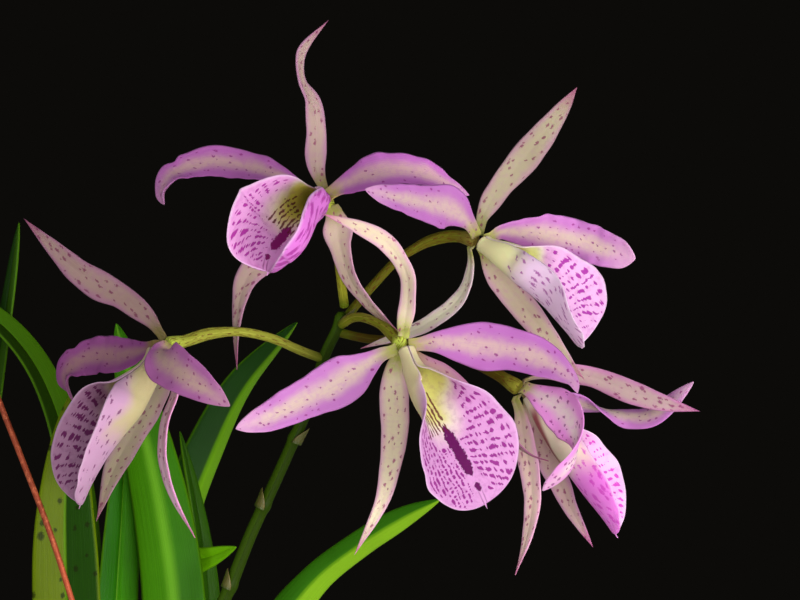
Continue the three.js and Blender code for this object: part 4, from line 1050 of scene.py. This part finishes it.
def leaf_effect():
    """Colour of a leaf: each half has its own green, which on most leaves is painted light and shade,
    one half lit and the other shaded; a line of its own runs along the midrib, on the broad leaf a painted
    highlight; the margins and the base are paler, on the lime leaf as painted lit edges; close parallel
    veins run along it, and some leaves carry dark spots."""
    board, given, out = effect(
        "Leaf paint", PAINT, Color="Left, Right, Rib, Margin, Base, Spot",
        Float="Spot share, Spot size, Spot pitch, Rib width",
    )
    across, along = board.parts(board.note("blade"))[:2]
    span = board.note("span")
    cloud = board.cloud(span, 0.05, 4.0)
    colour = board.blend(board.ease(across, -0.12, 0.12), given["Left"], given["Right"])
    lines = board.noise(board.join(board.times(across, 14.0), board.times(along, 2.0)), 2.0, 3.0)
    shade = board.times_plus(cloud, 0.5, 1.0)
    colour = board.shaded(colour, board.times_plus(board.minus(lines, 0.5), 0.3, shade))
    off = board.size(across)
    dots = board.group(
        SPOTS, span=span, pitch=given["Spot pitch"], stretch=1.3, share=given["Spot share"],
        size=given["Spot size"],
    )["Mask"]
    colour = board.layered(
        colour, given, (board.times(board.ease(off, given["Rib width"], 0.0), 0.7), "Rib"),
        (board.ease(off, 0.88, 1.0, 0.0, 0.7), "Margin"), (board.ease(along, 0.22, 0.0), "Base"),
        (board.times(dots, 0.8), "Spot"),
    )
    fleck = board.noise(span, 2.2, 3.0)
    return board.put(
        out, Colour=colour, Height=board.times_plus(lines, 0.8, board.times(fleck, 0.2)),
        Roughness=board.ease(fleck, 0.3, 0.7, 0.34, 0.5),
    )


SPOTS = spots_effect()
ROWS = rows_effect()
GRAIN = grain_effect()
TEPAL_PAINT = tepal_effect()
LIP_PAINT = lip_effect()
LEAF_PAINT = leaf_effect()


def finish(name, **fixed):
    """A new material and its board. Fixed values are set on the shader's own sockets."""
    material = bpy.data.materials.new(name)
    material.use_nodes = True
    board = Board(material.node_tree)
    for socket, value in fixed.items():
        board.shader.inputs[socket.replace("_", " ")].default_value = value
    return material, board


def lay(board, colour, roughness, height, depth, distance=0.0004):
    """Joins colour, roughness and relief to the shader."""
    board.feed(board.shader.inputs["Base Color"], colour)
    board.feed(board.shader.inputs["Roughness"], roughness)
    bump = board.node("Bump", {"Strength": depth, "Distance": distance, "Height": height})
    board.feed(board.shader.inputs["Normal"], bump.outputs[0])


def grained(name, dark, middle, light, coarse, fine, squash, **fixed):
    """A new material, its board and its grain between three colours."""
    material, board = finish(name, **fixed)
    grain = board.group(
        GRAIN, dark=tone(*dark), middle=tone(*middle), light=tone(*light), coarse=coarse, fine=fine,
        squash=(1.0, 1.0, squash),
    )
    return material, board, grain


def painted(name, paint, values, depth, **fixed):
    """A material made of one shared paint with this piece's own colours and numbers."""
    material, board = finish(name, **fixed)
    values = {key: tone(*value) if isinstance(value, tuple) else value for key, value in values.items()}
    out = board.group(paint, **values)
    lay(board, out["Colour"], out["Roughness"], out["Height"], depth)
    return material


FLESH = {
    "Subsurface_Weight": 0.2, "Subsurface_Scale": 0.0012, "Subsurface_Radius": (1.0, 0.55, 0.8),
    "Sheen_Weight": 0.03, "Sheen_Roughness": 0.5, "IOR": 1.38, "Specular_IOR_Level": 0.2,
}
LEAF_FLESH = {
    "Subsurface_Weight": 0.06, "Subsurface_Scale": 0.0015, "Subsurface_Radius": (0.5, 1.0, 0.2),
    "IOR": 1.42, "Specular_IOR_Level": 0.1,
}
PLAIN = (255, 255, 255)

PETAL = {
    "centre": (226, 200, 188), "margin": (204, 128, 204), "base": (190, 196, 92), "tip": (226, 172, 212),
    "spot": (150, 36, 130), "band": 0.06, "softness": 0.7, "lean": 0.0, "base_reach": 0.14,
    "tip_from": 0.74, "spot_share": 0.5, "spot_size": 0.38, "spot_stretch": 1.3, "back": 0.92,
    "tint": PLAIN,
}
SEPAL = {
    "centre": (226, 210, 178), "margin": (224, 176, 196), "base": (176, 182, 84), "tip": (206, 120, 160),
    "spot": (160, 54, 112), "band": 0.4, "softness": 0.6, "lean": 0.0, "base_reach": 0.14,
    "tip_from": 0.8, "spot_share": 0.85, "spot_size": 0.44, "spot_stretch": 1.8, "back": 0.92,
    "tint": PLAIN,
}
STALK = {
    **SEPAL, "centre": (152, 158, 40), "margin": (122, 128, 26), "base": (92, 108, 16),
    "tip": (196, 214, 84), "tip_from": 0.86, "spot": (92, 30, 18), "spot_share": 0.9, "spot_size": 0.85,
    "spot_stretch": 1.4, "back": 1.0,
}
LIP = {
    "ground": (232, 178, 226), "cream": (240, 234, 212), "throat": (222, 226, 130), "bar": (100, 10, 88),
    "dash": (164, 22, 148), "outside": (226, 170, 222), "tube": (238, 234, 172), "rim": (240, 206, 236),
    "streak": (104, 30, 40), "cream_reach": 8.0, "cream_lean": 1.0, "bar_start": 21.0, "bar_end": 36.5,
    "bar_width": 1.6, "bar_lean": 0.0, "dash_share_left": 0.53, "dash_share_right": 0.54,
    "dash_width": 0.3, "dash_length": 0.8, "row_gap": 1.5, "left_along": 0.0, "streaks": 0.66,
    "outside_from": 24.0, "outside_dots": 0.4, "outside_size": 0.45, "keel_stripe": 0.0, "tint": PLAIN,
}
LEAF = {
    "left": (60, 116, 4), "right": (68, 126, 6), "rib": (96, 150, 12), "margin": (86, 136, 8),
    "base": (104, 134, 20), "spot": (26, 36, 2), "spot_share": 0.0, "spot_size": 1.2, "spot_pitch": 6.0,
    "rib_width": 0.1,
}

# The usual paint, surface and layer of a petal and of a sepal.
KINDS = {"petal": (PETAL, PETAL_FORM, PETAL_LAYER), "sepal": (SEPAL, SEPAL_FORM, SEPAL_LAYER)}

# What sets single blades and stalks apart from the usual petal, sepal, lip or leaf: their own colours
# and numbers, and painted light and shade, as marked on each.
OWN_PAINT = {
    # Painted shade: the tints in this table darken blades that stand in shade, and shift their hue a little.
    "flower_1_dorsal_sepal": {"tint": (206, 192, 210)},
    "flower_1_left_petal": {"tint": (246, 224, 242)},
    "flower_1_right_petal": {"tint": (250, 228, 250), "spot_share": 0.2},
    "flower_1_left_lateral_sepal": {"tint": (200, 186, 200)},
    "flower_1_right_lateral_sepal": {"tint": (246, 240, 246)},
    "flower_2_dorsal_sepal": {"tint": (194, 196, 190)},
    "flower_2_left_petal": {"tint": (226, 218, 228)},
    # Painted light: a brighter centre and margin make this sepal look lit where it faces away from the
    # lamps.
    "flower_2_left_lateral_sepal": {"centre": (255, 248, 216), "margin": (252, 224, 232)},
    "flower_3_right_petal": {"tint": (230, 218, 232)},
    # Painted light: a brighter centre makes this sepal look lit.
    "flower_3_left_lateral_sepal": {"centre": (240, 226, 192)},
    "flower_3_right_lateral_sepal": {"tint": (206, 176, 204)},
    "flower_1_lip": {
        "ground": (228, 160, 218), "cream": (236, 222, 198), "outside": (224, 124, 218),
        "outside_from": -10.0, "outside_dots": 1.2, "outside_size": 0.8, "bar_start": 20.5, "bar_end": 29.5,
        "bar_width": 1.4, "bar": (134, 20, 104), "bar_lean": 1.0, "throat": (206, 210, 84),
        "cream_lean": 4.0, "dash_share_left": 0.55, "dash_length": 0.62, "row_gap": 0.9,
        "dash_width": 0.36, "streaks": 0.62,
    },
    # Painted light: the brighter tube and outside make this lip look lit where they face away from the
    # lamps.
    "flower_2_lip": {
        "outside_from": 9.0, "bar_width": 0.9, "tube": (250, 247, 182), "outside": (250, 214, 246),
        "outside_dots": 0.9, "outside_size": 0.5, "dash_width": 0.34, "dash_length": 0.8, "row_gap": 1.4,
        "dash": (162, 16, 156),
    },
    "flower_3_lip": {
        "left_along": 1.0, "cream_reach": 8.2, "ground": (220, 162, 214), "dash": (146, 14, 134),
        "dash_share_left": 0.58, "dash_share_right": 0.57, "dash_width": 0.36, "tint": (246, 238, 246),
    },
    "flower_4_dorsal_sepal": {
        "spot_size": 0.5, "spot_share": 0.9, "margin": (226, 164, 188), "tint": (220, 206, 236),
    },
    # Painted light: the brighter centre and margin make this petal look lit.
    "flower_4_near_petal": {
        "centre": (255, 226, 230), "margin": (252, 160, 238), "spot_size": 0.5, "spot_share": 0.7,
    },
    # Painted light: a brighter centre and margin make this sepal look lit.
    "flower_4_left_lateral_sepal": {"centre": (236, 206, 190), "margin": (236, 176, 208)},
    "flower_4_right_lateral_sepal": {"tint": (236, 220, 244)},
    "flower_4_lip": {
        "outside": (246, 134, 236), "tube": (240, 226, 200), "ground": (250, 196, 246),
        "outside_from": 17.0, "keel_stripe": 0.9, "outside_dots": 0.9, "outside_size": 0.7,
        "dash": (216, 60, 200), "dash_width": 0.3,
    },
    # Painted shade: flower 5 stands in shade, and its tints darken it.
    "flower_5_dorsal_sepal": {"tint": (160, 142, 158)},
    "flower_5_far_petal": {"tint": (190, 160, 180)},
    "flower_5_near_petal": {"tint": (228, 214, 214)},
    "flower_5_left_lateral_sepal": {"tint": (182, 182, 178)},
    # Painted light: a brighter centre and margin make this sepal look lit.
    "flower_5_right_lateral_sepal": {"centre": (255, 216, 232), "margin": (255, 176, 226)},
    # Painted shade: the darker ground, with the tints, stands for the shade on this lip.
    "flower_5_lip": {
        "outside": (226, 184, 220), "dash": (120, 14, 104), "ground": (204, 160, 194), "dash_width": 0.35,
        "dash_share_left": 0.57, "dash_share_right": 0.57, "tint": (232, 220, 226),
        "dash_length": 0.7, "row_gap": 1.7, "tube": (224, 220, 160), "outside_from": 19.0,
        "outside_dots": 0.55, "outside_size": 0.4,
    },
    "flower_1_stalk": {"centre": (180, 180, 56), "margin": (150, 150, 40)},
    "flower_2_stalk": {"centre": (108, 118, 24), "margin": (100, 94, 20), "tip": (140, 126, 56)},
    "flower_3_stalk": {"centre": (156, 148, 60)},
    "flower_4_stalk": {"centre": (92, 88, 14), "margin": (76, 62, 10), "tip": (150, 150, 50)},
    "flower_5_stalk": {"centre": (176, 180, 70), "margin": (150, 152, 52)},
    # Painted light and shade: most leaves' left and right greens stand for a lit half and a shaded half.
    "leaf_lime": {
        # Painted light: the lime leaf's paler margins are lit edges.
        "left": (94, 114, 4), "right": (28, 66, 3), "margin": (112, 138, 5), "spot_share": 0.9,
        "spot_size": 1.0, "spot_pitch": 4.6,
    },
    # Painted highlight: the broad leaf's wide pale rib is a highlight along its middle.
    "leaf_broad": {"left": (66, 132, 5), "right": (53, 117, 5), "rib": (116, 182, 40), "rib_width": 0.3},
    "leaf_narrow": {"left": (37, 76, 4), "right": (43, 84, 5)},
    "leaf_leaning": {"left": (22, 66, 4), "right": (110, 168, 20)},
    "leaf_right": {"left": (48, 108, 8), "right": (124, 172, 30)},
    "leaf_dark": {"left": (36, 102, 2), "right": (60, 136, 3)},
    "leaf_far_left": {"left": (19, 50, 2), "right": (44, 80, 3)},
    "leaf_arching": {"left": (33, 60, 4), "right": (68, 114, 6)},
    "leaf_small": {"left": (108, 178, 8), "right": (108, 178, 8), "base": (96, 160, 10)},
}


def own_finish(name, usual, paint, depth, fixed):
    """The material of one piece: the usual values of its kind, with what sets this piece apart."""
    return painted(name.replace("_", " "), paint, {**usual, **OWN_PAINT.get(name, {})}, depth, **fixed)


# Leaves.
for number, (name, leaf) in enumerate(LEAVES.items()):
    blade(
        name, leaf["midline"], (0, 0, 0), leaf["width"],
        {**LEAF_FORM, "keel": leaf.get("keel", LEAF_FORM["keel"])},
        own_finish(name, LEAF, LEAF_PAINT, 0.35, LEAF_FLESH), 300 + 10 * number,
    )


# Blooms.
def with_base(midline, face, ring, layer, given):
    """The midline with its base in front: as given, or on a ring round the hub, before or behind it."""
    first = np.array(midline[0][:3], float)
    outward = unit(first - (first @ face) * face)
    base = outward * ring + face * layer if given is None else given
    return [[*base, *midline[0][3:]], *midline]


def column(node, rows, width, origin):
    """A short club up the middle of the lip's tube: a round body that swells towards its cap."""
    u = np.linspace(0, 1, 37)
    line = spine(rows, origin, u)
    far = np.linalg.norm(line["place"] - line["place"][0], axis=1)
    last = int(np.argmax((u > 0) & (far > COLUMN_LENGTH)))
    at = np.array([0, round(last / 2), last])
    tube = width * line["share"] * strip_share(u) / 2 / math.radians(CLOSED_ROLL)
    points = (line["place"] + line["face"] * tube[:, None])[at]

    def radius(u, angle, length):
        cap = 0.1 * smooth(u, 0.8, 0.84) * np.cos(2 * angle)
        return (0.5 + 0.4 * np.sin(2.2 * u) + cap) * round_ends(u, length, 0.4, 0.8)

    return piece(node + "_club", rod(points, radius, 40, 24), column_finish, [node])


column_finish = painted(
    "Waxy column", TEPAL_PAINT,
    {**SEPAL, "centre": (214, 220, 150), "margin": (196, 206, 120), "tip": (236, 214, 190)}, 0.2, **FLESH,
)
for number, (bloom, organs) in enumerate(BLOOMS.items()):
    hub = np.array(organs["hub"], float)
    facing = unit(np.array(organs["face"], float))
    for place, (organ, form) in enumerate(organs.items()):
        if organ in ("hub", "face"):
            continue
        node = f"{bloom}_{organ}"
        seed = 100 * number + 10 * place + 7
        if organ == "lip":
            rows = with_base(form["midline"], facing, LIP_DROP, LIP_START, None)
            own = own_finish(node, LIP, LIP_PAINT, 0.3, FLESH)
            lip(node, rows, form["roll"], hub, form["width"], own, seed)
            column(f"{bloom}_column", rows, form["width"], hub)
            continue
        slot = "petal" if organ.endswith("petal") else "sepal"
        usual, surface, layer = KINDS[slot]
        rows = with_base(form["midline"], facing, PETAL_RING, layer, form.get("base"))
        own = own_finish(node, usual, TEPAL_PAINT, 0.25, FLESH)
        blade(node, rows, hub, form["width"], {**surface, **OWN_FORM.get(node, {})}, own, seed)

# Flower stem with its bracts, sheath and stalks.
stem_finish = painted(
    "Flower stem", LEAF_PAINT,
    {**LEAF, "left": (42, 64, 3), "right": (54, 82, 4), "spot_share": 0.3, "spot_size": 0.4,
     "spot_pitch": 2.6, "rib_width": 0.02, "base": (46, 70, 6), "margin": (42, 64, 3)}, 0.3, **LEAF_FLESH,
)
scale_finish = painted(
    "Stem scale", LEAF_PAINT,
    {**LEAF, "left": (92, 92, 30), "right": (98, 96, 34), "spot": (90, 50, 30), "spot_share": 0.5,
     "rib": (84, 84, 24), "margin": (150, 122, 74), "base": (60, 78, 10)}, 0.5,
)
paper_finish = painted(
    "Dry sheath", LEAF_PAINT,
    {**LEAF, "left": (150, 118, 70), "right": (158, 128, 78), "spot": (90, 60, 34), "spot_share": 0.5,
     "rib": (120, 92, 54), "margin": (176, 150, 104), "base": (128, 100, 60)}, 0.6,
)


def stem_radius(u, angle, length):
    """Tapers up the stem, swells at each joint and is faintly ribbed."""
    joints = sum(0.32 * np.exp(-(((u - one["at"]) * length / 1.3) ** 2)) for one in BRACTS)
    tapered = STEM_RADIUS * (1.12 - 0.3 * u)
    return (tapered + joints) * (1 + 0.02 * np.cos(6 * angle)) * round_ends(u, length, 1, 1)


def bract(number, at, turn, length):
    """A small dry scale: it clasps the stem, narrows to a point and leans away from it as it grows."""
    s, a = stations(30), columns(13)
    t = evenly(STEM, [at])[0]
    foot, up = catmull(STEM, t)[0], tangents(STEM, t)[0]
    out = unit(np.array([math.cos(math.radians(turn)), -0.35, 0.0]))
    out = unit(out - (out @ up) * up)
    reach = (STEM_RADIUS + 0.35 + 0.13 * length * s**1.7)[:, None]
    angle = np.radians(80) * np.maximum(1 - s**1.6, 0)[:, None] * a
    rise = (-1 + (length + 1) * s)[:, None]
    sheet = foot + up * rise[..., None] + out * (reach * np.cos(angle))[..., None]
    sheet = sheet + np.cross(up, out) * (reach * np.sin(angle))[..., None]
    thick = 0.45 * lens_share(a, 4) * (1.2 - s)[:, None]
    grid = together(a, s[:, None], 0.0)
    notes = {"blade": around(grid), "span": around(grid * [3, length, 0] + [0, 0, number])}
    body = (*skin(sheet, thick, np.repeat(out[None], len(s), 0)), notes)
    return piece(f"stem_bract_{number + 1}", body, scale_finish, ["flower_stem"])


def stalk_radius(u, angle, length):
    """The stalk swells into a six-ribbed ovary and ends in the round hub that carries the blades."""
    ovary = 0.35 * smooth(u, 0.55, 0.8)
    hub_part = (HUB_RADIUS - STALK_RADIUS - 0.35) * smooth(u, 0.88, 0.97)
    ribs = 1 + 0.05 * np.cos(6 * angle + 5 * u) * smooth(u, 0.5, 0.7) * (1 - smooth(u, 0.9, 0.95))
    return (STALK_RADIUS + ovary + hub_part) * ribs * round_ends(u, length, 0.5, 1.1)


piece("flower_stem_cane", rod(STEM, stem_radius, 220, 28), stem_finish, ["flower_stem"])
for number, one in enumerate(BRACTS):
    bract(number, one["at"], one["round"], one["length"])
stem_length = evenly(STEM, [1])[1]
body = sleeve(STEM, 1.2 / stem_length, 24 / stem_length, lambda u, angle: 2.8 - 2 * u, 0.6, 26, 48, 5, 1.0)
piece("stem_sheath_paper", body, paper_finish, ["stem_sheath"])
for bloom, rows in STALKS.items():
    piece(
        f"{bloom}_stalk_stem", rod(rows, stalk_radius, 120, 28),
        own_finish(f"{bloom}_stalk", STALK, TEPAL_PAINT, 0.3, LEAF_FLESH), [f"{bloom}_stalk"],
    )

# Pseudobulbs, their sheaths, the rhizome and the roots.
BASE_NODE = ["pseudobulbs_and_roots"]
bulb_finish = painted(
    "Grooved pseudobulb", LEAF_PAINT,
    {**LEAF, "left": (104, 132, 48), "right": (116, 142, 54), "spot": (120, 110, 60), "spot_share": 0.1,
     "rib_width": 0.02, "base": (146, 140, 84), "margin": (104, 132, 48)}, 0.4, **LEAF_FLESH,
)


def bulb_line(bulb):
    """From foot to tip, bowed a little to the right and towards the viewer."""
    foot, tip = np.array(bulb["foot"], float), np.array(bulb["tip"], float)
    return np.stack([foot, (foot + tip) / 2 + [1, -1, 0], tip])


def bulb_shape(bulb, u):
    """A spindle: its radius goes with the sine of a share that hurries at the foot."""
    return bulb["radius"] * (0.42 + 0.58 * np.sin(math.pi * np.minimum(1, u * 1.05) ** 0.8))


for number, (bulb, top) in enumerate(zip(BULBS, SHEATH_TOPS)):

    def bulb_radius(u, angle, length):
        grooves = 1 - 0.05 * np.abs(np.sin(4.5 * angle + 0.8 * number)) * np.sin(math.pi * u)
        joints = sum(0.25 * np.exp(-(((u - at) / 0.012) ** 2)) for at in BULB_JOINTS)
        return (bulb_shape(bulb, u) * grooves + joints) * round_ends(u, length, 1.5, 1.6)

    def bulb_gap(u, angle):
        return bulb_shape(bulb, u) + 0.15

    line = bulb_line(bulb)
    piece(f"pseudobulb_{number + 1}", rod(line, bulb_radius, 90, 40), bulb_finish, BASE_NODE)
    body = sleeve(line, 0.02, top, bulb_gap, 0.4, 20, 48, 40 + number, 3.0)
    piece(f"pseudobulb_sheath_{number + 1}", body, paper_finish, BASE_NODE)

root_finish, board, grain = grained(
    "Silvery root", (120, 118, 100), (178, 176, 158), (214, 212, 198), 240.0, 1500.0, 1.0,
)
green_tip = board.ease(board.parts(board.note("blade"))[1], 0.8, 0.93)
colour = board.blend(green_tip, grain["Colour"], tone(120, 146, 60))
lay(board, colour, board.ease(grain["Height"], 0.3, 0.7, 0.7, 0.9), grain["Height"], 0.5)


def root_radius(u, angle, length):
    """Thins towards the tip, with a slight wander."""
    return (1.6 - 0.5 * u) * (1 + wander(u, 9, 4, 0.06)) * round_ends(u, length, 1, 2.4)


def rhizome_radius(u, angle, length):
    """Even, with a slight wander."""
    return (3.2 + wander(u, 3, 6, 0.3)) * round_ends(u, length, 2, 2)


for number, rows in enumerate(ROOTS):
    piece(f"root_{number + 1}", rod(rows, root_radius, 90, 20, UP), root_finish, BASE_NODE)
creep = [[x, y, z + RHIZOME_LIFT] for x, y, z in (bulb["foot"] for bulb in BULBS)]
piece("rhizome", rod(creep, rhizome_radius, 90, 24, UP), root_finish, BASE_NODE)

# Bark.
bark_finish, board, grain = grained(
    "Fir bark", (38, 22, 14), (92, 56, 34), (150, 104, 68), 130.0, 700.0, 2.6,
)
own = board.parts(board.note("blade"))[0]
colour = board.shaded(grain["Colour"], board.ease(own, 0.0, 1.0, 0.65, 1.35))
lay(board, colour, board.ease(grain["Height"], 0.3, 0.7, 0.75, 0.95), grain["Height"], 0.9, 0.0008)


def inner_radius(z):
    """The pot's inner wall: straight from the floor to the rim."""
    low, high = POT_FOOT_RADIUS - POT_WALL + 1, POT_RIM_RADIUS - POT_WALL
    return low + (high - low) * (z - POT_FLOOR) / (POT_HEIGHT - POT_FLOOR)


bed = [
    [0, POT_FLOOR + 0.4], [inner_radius(POT_FLOOR) - 3.6, POT_FLOOR + 0.4],
    [inner_radius(POT_FLOOR + 3) - 0.6, POT_FLOOR + 3.4], [inner_radius(BARK_TOP - 3) - 0.6, BARK_TOP - 3],
    [inner_radius(BARK_TOP) - 3, BARK_TOP], [0, BARK_TOP],
]
body = lathe(bed, 60, 96)
piece("bark_bed", (*body, {"blade": body[0] * 0 + 0.3}), bark_finish, ["potting_bark"])


def bark_chips(count, rows, ring):
    """Chips strewn over the bed: one block whose sides bulge as a superellipse, scaled, broken by a wave
    and turned for each chip as whole arrays. They lie on a spiral of the golden angle."""
    draw = np.random.default_rng(20)
    theta = np.linspace(-math.pi / 2, math.pi / 2, rows + 2)[1:-1, None]
    phi = turns(ring)

    def squared(wave):
        return np.sign(wave) * np.abs(wave) ** 0.35

    level = squared(np.cos(theta))
    block = together(level * squared(np.cos(phi)), level * squared(np.sin(phi)), squared(np.sin(theta)))
    block = np.concatenate([block.reshape(-1, 3), [[0, 0, -1], [0, 0, 1]]])
    size = np.stack([draw.uniform(low, high, count) for low, high in CHIP_SIZES], 1)
    phase = draw.uniform(0, 6, (count, 1, 3))
    chips = block * size[:, None] * (1 + 0.16 * np.sin(block * 2.7 + phase).sum(-1, keepdims=True))
    spin = draw.uniform(0, 2 * math.pi, count)
    tip_x = draw.normal(0, 0.4, count)
    tip_y = draw.normal(0, 0.4, count)
    for angle, first, second in ((tip_x, 1, 2), (tip_y, 0, 2), (spin, 0, 1)):
        a, b = chips[..., first].copy(), chips[..., second].copy()
        chips[..., first] = a * np.cos(angle)[:, None] - b * np.sin(angle)[:, None]
        chips[..., second] = a * np.sin(angle)[:, None] + b * np.cos(angle)[:, None]
    out = BED_RADIUS * np.sqrt((np.arange(count) + 0.5) / count)
    round_by = np.arange(count) * math.pi * (3 - math.sqrt(5))
    high = BARK_TOP + draw.uniform(-0.8, 2.6, count) * (1 - 0.3 * (out / 50) ** 2)
    points = chips + together(out * np.cos(round_by), out * np.sin(round_by), high)[:, None]
    own_shade = np.repeat(draw.random(count), len(block))
    notes = {"blade": together(own_shade, own_shade, own_shade)}
    return points.reshape(-1, 3), *faces_of_copies(count, rows, ring), notes


piece("bark_chips", bark_chips(CHIP_COUNT, 5, 10), bark_finish, ["potting_bark"], crease=40)

# Pot.
clay_finish, board, grain = grained(
    "Terracotta", (150, 78, 48), (186, 106, 68), (206, 138, 100), 30.0, 900.0, 1.4,
)
place = board.place()
z = board.parts(place)[2]
bloom_noise = board.noise(place, 34.0, 5.0, 0.65)
low_down = board.ease(z, 0.07, 0.0, 0.0, 0.16)
lime = board.ease(board.plus(bloom_noise, low_down), 0.56, 0.74, 0.0, 0.55)
colour = board.blend(lime, grain["Colour"], tone(216, 198, 180))
damp = board.ease(board.times_plus(bloom_noise, 0.02, z), 0.112, 0.06, 0.0, 0.25)
colour = board.blend(damp, colour, tone(120, 62, 40))
rings = board.node(
    "TexWave", {"Vector": place, "Scale": 46.0, "Distortion": 1.2, "Detail": 2.0, "Detail Scale": 0.6},
    bands_direction="Z",
).outputs[1]
relief = board.times_plus(rings, 0.35, grain["Height"])
lay(board, colour, board.ease(grain["Height"], 0.3, 0.7, 0.72, 0.92), relief, 0.45, 0.0006)

band_bottom = POT_HEIGHT - POT_BAND
under_band = inner_radius(band_bottom) + POT_WALL
profile = [
    [0, 0], [POT_FOOT_RADIUS - 1.5, 0], [POT_FOOT_RADIUS - 0.4, 0.4], [POT_FOOT_RADIUS, 1.5],
    [under_band - 0.2, band_bottom - 1], [under_band, band_bottom], [POT_RIM_RADIUS - 3, band_bottom + 0.4],
    [POT_RIM_RADIUS - 2.1, band_bottom + 1.6], [POT_RIM_RADIUS, POT_HEIGHT - 2.2],
    [POT_RIM_RADIUS - 0.4, POT_HEIGHT - 1], [POT_RIM_RADIUS - 1.1, POT_HEIGHT - 0.3],
    [POT_RIM_RADIUS - 2, POT_HEIGHT], [POT_RIM_RADIUS - POT_WALL + 1, POT_HEIGHT],
    [inner_radius(POT_HEIGHT) + 0.3, POT_HEIGHT - 0.5], [inner_radius(POT_HEIGHT - 1.5), POT_HEIGHT - 1.5],
    [inner_radius(POT_FLOOR + 3), POT_FLOOR + 3], [inner_radius(POT_FLOOR) - 3, POT_FLOOR], [0, POT_FLOOR],
]
pot = piece("pot_of_clay", (*lathe(profile, 130, 160), {}), clay_finish, ["pot"], crease=38)

# The four drain holes are bored by round cutters, which are then taken away.
low, high = DRAIN_CUT
cutter = lathe([[0, low], [DRAIN_RADIUS, low], [DRAIN_RADIUS, high], [0, high]], 2, DRAIN_SIDES)[0]
corner = np.pi / 2 * (np.arange(4) + 0.5)
centres = DRAIN_CIRCLE * together(np.cos(corner), np.sin(corner), 0.0)
points = (cutter + centres[:, None]).reshape(-1, 3)
cutters = set_out("drain_cutters", points, *turned_out(points, *faces_of_copies(4, 2, DRAIN_SIDES)))
bore = pot.modifiers.new("Drain holes", "BOOLEAN")
bore.operation = "DIFFERENCE"
bore.object = cutters
bpy.context.view_layer.update()
bored = bpy.data.meshes.new_from_object(pot.evaluated_get(bpy.context.evaluated_depsgraph_get()))
pot.modifiers.clear()
pot.data = bored
bpy.data.objects.remove(cutters)

# Support wire.
wire_finish, board, grain = grained(
    "Coppered wire", (150, 62, 34), (196, 88, 52), (222, 120, 78), 60.0, 800.0, 1.0, Metallic=0.35,
)
lay(board, grain["Colour"], board.ease(grain["Height"], 0.3, 0.7, 0.4, 0.6), grain["Height"], 0.2)
body = rod(WIRE, lambda u, angle, length: WIRE_RADIUS * round_ends(u, length, 0.3, 0.3), 200, 20)
piece("support_wire_rod", body, wire_finish, ["support_wire"])

# Floor, light and camera.
floor_finish, board = finish("Pale floor")
speck = board.noise(board.place(), 220.0, 3.0)
colour = board.blend(board.ease(speck, 0.35, 0.65), tone(212, 210, 206), tone(222, 220, 216))
lay(board, colour, board.ease(speck, 0.3, 0.7, 0.75, 0.9), speck, 0.1)
angle = turns(FLOOR_SIDES)
reach = np.linspace(0, FLOOR_RADIUS, FLOOR_RINGS + 1)[1:, None]
disc = together(reach * np.cos(angle), reach * np.sin(angle), 0.0).reshape(-1, 3)
middle = pole_faces(FLOOR_RINGS, FLOOR_SIDES)[:FLOOR_SIDES, ::-1]
outer = ring_faces(FLOOR_RINGS, FLOOR_SIDES)[:, ::-1]
floor = set_out("floor", np.concatenate([disc, [[0, 0, 0]]]), outer, middle)
floor.data.materials.append(floor_finish)


def linked(name, data, place):
    """A lamp or a camera set in the scene."""
    made = bpy.data.objects.new(name, data)
    made.location = place
    bpy.context.scene.collection.objects.link(made)
    return made


def lamp(name, place, size, power, colour, spread=180):
    """A soft square light at a place, turned to the spot that all lamps aim at, which no camera sees."""
    light = bpy.data.lights.new(name, "AREA")
    light.size = size
    light.energy = power
    light.color = colour
    light.spread = math.radians(spread)
    made = linked(name, light, place)
    made.rotation_euler = (Vector(AIM) - Vector(place)).to_track_quat("-Z", "Y").to_euler()
    made.visible_camera = False


lamp("key light", (0.5, -0.47, 0.19), 0.3, 1.08, (1.0, 0.98, 0.95), 110)
lamp("low light", (0.2, -0.62, 0.19), 0.34, 0.73, (1.0, 0.98, 0.97), 110)
lamp("fill light", (-0.85, -0.95, 0.8), 0.9, 1.7, (0.97, 0.98, 1.0))
lamp("left light", (-0.6, -0.5, 0.3), 0.3, 0.24, (1.0, 0.99, 0.97), 110)
lamp("top light", (0.45, -0.3, 1.1), 0.6, 0.68, (1.0, 1.0, 1.0))

# The room: dark to the eye and in reflections, with a soft light of its own on all sides.
world = bpy.data.worlds.new("Dark room")
world.use_nodes = True
room = Board(world.node_tree)
dark = world.node_tree.nodes["Background"]
dark.inputs["Color"].default_value = tone(12, 11, 9)
soft = room.node("Background", {"Color": (1.0, 1.0, 1.0, 1.0), "Strength": ROOM_LIGHT})
on_matter = room.node("LightPath").outputs["Is Diffuse Ray"]
mixed = room.node("MixShader", {0: on_matter, 1: dark.outputs[0], 2: soft.outputs[0]})
room.feed(world.node_tree.nodes["World Output"].inputs["Surface"], mixed.outputs[0])
bpy.context.scene.world = world
bpy.context.scene.view_settings.view_transform = "Standard"

lens = bpy.data.cameras.new("camera")
lens.sensor_width = SENSOR_WIDTH
lens.lens = FOCAL_LENGTH
camera = linked("camera", lens, CAMERA_PLACE)
camera.rotation_euler = (math.pi / 2, 0, 0)
bpy.context.scene.camera = camera
